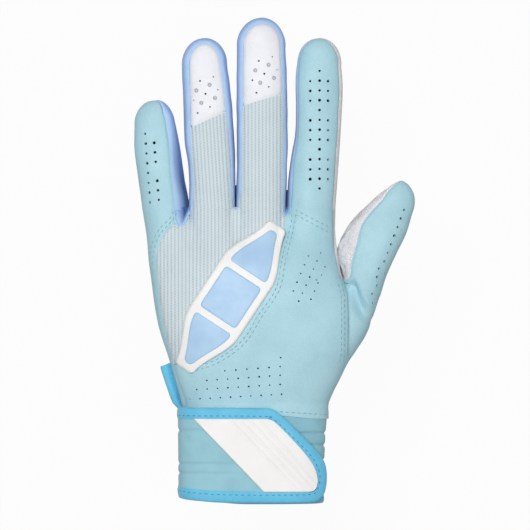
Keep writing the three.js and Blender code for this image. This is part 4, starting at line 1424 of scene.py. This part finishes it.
def run_weave(length):
    return lambda u, v, spot: (v * 10, u * length)


TAPE_SAMPLE = (0.5, 0.2)
panel("hem_tape", "cuff_binding", BLUE_TAPE, "hand", hem_place, (150, 22), (0.3, 0, 1), TAPE_SAMPLE,
      cut_size(hem_place, True), run_weave(170))

placket_left = through([(42.6, -31.6), (44.6, -33.2), (47, -35.2), (61.4, -40.2), (64, -40.8)])
placket_right = through([(42.6, -27), (45, -28.4), (50, -30.6), (55, -32.6), (64, -35)])
PLACKET_FROM, PLACKET_TO = 42.8, 63.6
PLACKET_WIDTH = 4.6
PLACKET_TOP, PLACKET_UNDER = 12.8, 11.1


def placket_place(u, v):
    y = lerp(PLACKET_FROM, PLACKET_TO, u)
    inward, height = folded(v, PLACKET_WIDTH, PLACKET_TOP, PLACKET_UNDER, 0.2)
    x = lerp(placket_left(y), placket_right(y), inward / PLACKET_WIDTH)
    sunk = lerp(4.6, 2.4, ease(u, 0.05, 0.6)) * ease(inward, 1.4, PLACKET_WIDTH)
    return Vector((x, y + 0.5 * inward * ease(u, 0.7, 1), height - sunk))


panel("slit_tape", "placket_binding", BLUE_TAPE, "hand", placket_place, (40, 22), (-0.5, 0, 0.8), TAPE_SAMPLE,
      cut_size(placket_place, True), run_weave(22))

ANCHOR_FROM, ANCHOR_TO = 179.6, 236
STRAP_GROOVES = (STRAP_LOW, 14.2, 18.6, 34, STRAP_HIGH)


def anchor_place(u, v):
    y = lerp(STRAP_LOW + STRAP_ROOT_RISE, STRAP_HIGH, v)
    sunk = ease(u, 0, 0.45) * (STRAP_LIFT - CUFF_RIB - 0.3)
    swell = pillow(y, STRAP_GROOVES, 0.7) - 0.35
    return cuff_spot(y, lerp(ANCHOR_FROM, ANCHOR_TO, u), STRAP_TOP - sunk + swell)


panel("strap_root", "strap_anchor", Stuff("ribbed", [WRIST_CLOTH, LINING], STRAP_ROOT_WALL), "hand",
      anchor_place, (36, 70), (-1, 0, -0.2), (0.3, 0.5))


def pad_piece(name, node, finish, body, low, high, start, border, lift, roundness):
    def place(u, v):
        y = lerp(low, high, v)
        edge = min(u, 1 - u) * 40
        height = lift + PAD * clamp(edge / 0.4, 0.4, 1)
        return strap_spot(lerp(start, strap_reach(y, border), u), y, height, roundness)

    panel(name, node, Stuff("pad", [finish], PAD), body, place, (60, 34))


pad_piece("loop_patch", "loop_pad", LOOP_PILE, "hand", 11, 35, 22, 8, CUFF_RIB + 0.3, CUFF_ROUND)
pad_piece("hook_patch", "hook_pad", HOOK_PILE, "strap", 12, 34, 34, 9, 1.6, STRAP_ROUND)


# Strap

def strap_panel_place(u, v):
    y = lerp(STRAP_LOW + 1.9, STRAP_HIGH - 1.9, v)
    x = lerp(0.3, strap_reach(y, 1.6), u)
    swell = pillow(y, STRAP_GROOVES, 0.6) - 0.3
    return strap_spot(x, y, STRAP_TOP + swell * ease(abs(x - 60), 0, 40) + crinkle((x, y, 5), 11, 0.15))


panel("strap_cloth", "strap_panel", Stuff("ribbed", [WRIST_CLOTH, LINING], STRAP_WALL), "strap",
      strap_panel_place, (120, 70))


def strap_tape_place(u, v):
    spot, way = TAPE_RUN[round(u * TAPE_STEPS)]
    inward, offset = folded(v, tape_width(spot), STRAP_TOP + TAPE_WALL, STRAP_LIFT - TAPE_WALL, 0.3)
    at = spot + aside(way) * inward
    return strap_spot(max(at.x, 0.25), at.y, offset)


panel("strap_tape", "strap_binding", BLUE_TAPE, "strap", strap_tape_place, (TAPE_STEPS, 22), UP, (0.15, 0.2),
      cut_size(strap_tape_place, True), run_weave(190))

PATCH_LOW = 5.8
PATCH_HIGH = 39.8
PATCH_TOP = STRAP_TOP + 1.5
PATCH_SLANT = 0.78
PATCH_GROOVE = 0.45
PATCH_GROOVES = (12.5, 15.8, 19.0, 22.2)
patch_right = through([
    (5.8, 69.6), (6.3, 71.6), (7.3, 73), (9.1, 73.8), (12.7, 73.8), (17.5, 72.1), (23.5, 67.8),
    (31.8, 60.2), (37.7, 54.2), (39, 52.4), (39.8, 50.2),
])


def patch_left(y):
    return lerp(49.3, 17.1, (y - PATCH_LOW) / (PATCH_HIGH - PATCH_LOW))


def patch_place(u, v):
    y = lerp(PATCH_LOW, PATCH_HIGH, v)
    first, last = patch_left(y), patch_right(y)
    x = lerp(first, last, u)
    away = (x - first) * PATCH_SLANT
    edge = min(away, last - x, y - PATCH_LOW, PATCH_HIGH - y)
    crown = 0.7 * (crown_of(edge, 0.8) - 1)
    groove = max(hump(away - at, PATCH_GROOVE) for at in PATCH_GROOVES)
    return strap_spot(x, y, PATCH_TOP + crown - 0.25 * groove * ease(edge, 0.5, 1.5))


moulding("strap_moulding", "strap_patch", WHITE_RUBBER, "strap", patch_place, (150, 90))


# Stitching

STITCH_RADIUS = 0.18


def stitch_rows(name, runs, body, finish, length=1.8, gap=0.9):
    """Rows of stitches along lines of spots on the surface."""
    bm = bmesh.new()
    shape = Matrix.Diagonal((length / 2, STITCH_RADIUS, STITCH_RADIUS * 0.8, 1))
    for run in runs:
        for spot, way in evenly(run, max(1, round(lengths_along(run)[-1] / (length + gap)))):
            turn = way.to_track_quat("X", "Z").to_matrix().to_4x4()
            bmesh.ops.create_icosphere(
                bm, subdivisions=1, radius=1, matrix=Matrix.Translation(spot) @ turn @ shape,
            )
    carried(finished(name, bm, [finish]), body)


def on_panel(spots, node):
    """Spots in plan, dropped on to a panel."""
    hits = [SURFACES[node].ray_cast(Vector((x, y, ABOVE)), Vector(DOWN))[0] for x, y in spots]
    return [hit + Vector((0, 0, 0.1)) for hit in hits if hit]


def beside(curve, first, last, away, count=60):
    """A line in plan that keeps a distance from a seam."""
    ys = [lerp(first, last, share) for share in steps(count)]
    spots = [Vector((curve(y), y)) for y in ys]
    ways = [(b - a).normalized() for a, b in zip(spots, spots[1:])]
    ways.append(ways[-1])
    gaps = [away(y) if callable(away) else away for y in ys]
    return [spot + aside(way) * gap for spot, way, gap in zip(spots, ways, gaps)]


def between(a, b, count=20):
    return [(lerp(a[0], b[0], share), lerp(a[1], b[1], share)) for share in steps(count)]


back_runs = [
    on_panel(beside(back_seam, 67, 134, lambda y, away=away: away - 0.7 * ease(y, 112, 124)), "hand_back")
    for away in (3.3, 5.0)
] + [on_panel(spots, node) for spots, node in (
    (beside(ulnar_seam, 112, 134, -1.3), "ulnar_side"),
    (beside(ulnar_seam, 114, 134, -2.9), "ulnar_side"),
    (between((22.6, 136.2), (36.8, 129)), "hand_back"),
    (between((22.9, 133.9), (36.6, 126.6)), "hand_back"),
    (beside(thumb_seam, 66, 102, -1.3), "hand_back"),
    (beside(thumb_seam, 66, 102, -2.8), "hand_back"),
    (between((10, WRIST_Y - 0.7), (35.5, WRIST_Y - 2.5)), "hand_back"),
)]
stitch_rows("hand_stitches", back_runs, "hand", AQUA_THREAD)

tape_run = []
for spot, way in TAPE_RUN:
    inward = tape_width(spot) - 1.7
    tape_run.append(strap_spot(
        max(spot.x + way.y * inward, 0.4), spot.y - way.x * inward, STRAP_TOP + TAPE_WALL + 0.3,
    ))
stitch_rows("strap_stitches", [tape_run], "strap", BLUE_THREAD, 1.7, 1.1)
hem_run = [cuff_spot(3.0, lerp(SLIT_TO - 358, SLIT_FROM - 2, share), CUFF_RIB + 0.4) for share in steps(120)]
stitch_rows("hem_stitches", [hem_run], "hand", BLUE_THREAD, 1.7, 1.1)


# Stage, light and camera

FLOOR_DROP = 0.09
FLOOR_HALF = 6
SKY = 0.36
FIELD_CENTRE = (7.9, 110.9)
CAMERA_HEIGHT = 2.073
CAMERA_LENS = 300

floor_mesh = bmesh.new()
bmesh.ops.create_grid(floor_mesh, x_segments=1, y_segments=1, size=FLOOR_HALF)
bmesh.ops.translate(floor_mesh, verts=floor_mesh.verts, vec=(0, 0, -FLOOR_DROP))
floor_data = bpy.data.meshes.new("floor")
floor_mesh.to_mesh(floor_data)
floor_mesh.free()
shown("floor", floor_data)
pale = Finish("pale_floor", 0.9, 0.5)
pale.shader.inputs["Base Color"].default_value = (0.6, 0.6, 0.6, 1)
seen = pale.node("ShaderNodeLightPath").outputs["Is Camera Ray"]
mixed = pale.node("ShaderNodeMixShader", {
    0: pale.math("MULTIPLY", seen, 0.95),
    1: pale.shader.outputs[0],
    2: pale.node("ShaderNodeEmission", {"Color": (1, 1, 1, 1)}).outputs[0],
})
pale.tree.links.new(mixed.outputs[0], pale.tree.nodes["Material Output"].inputs["Surface"])
floor_data.materials.append(pale.material)

world = bpy.data.worlds.new("studio")
scene.world = world
world.use_nodes = True
background = world.node_tree.nodes["Background"].inputs
background["Color"].default_value = (1, 1, 1, 1)
background["Strength"].default_value = SKY


def softbox(name, place, aim, size, power):
    data = bpy.data.lights.new(name, "AREA")
    data.shape, data.size, data.energy = "DISK", size, power
    lamp = shown(name, data)
    lamp.location = place
    lamp.rotation_mode = "QUATERNION"
    lamp.rotation_quaternion = (Vector(aim) - Vector(place)).to_track_quat("-Z", "Y")


softbox("key_light", (-0.25, 0.3, 1.2), (0, 0, 0), 0.5, 8.4)
softbox("fill_light", (0.35, -0.25, 1.3), (0, 0, 0), 0.8, 3.4)

camera_data = bpy.data.cameras.new("camera")
camera_data.lens = CAMERA_LENS
camera_data.sensor_width = 36
camera = shown("camera", camera_data)
camera.location = (*to_frame((*FIELD_CENTRE, 0))[:2], CAMERA_HEIGHT)
camera_data.clip_start, camera_data.clip_end = 0.01, 50
scene.camera = camera

scene.view_settings.view_transform = "Standard"
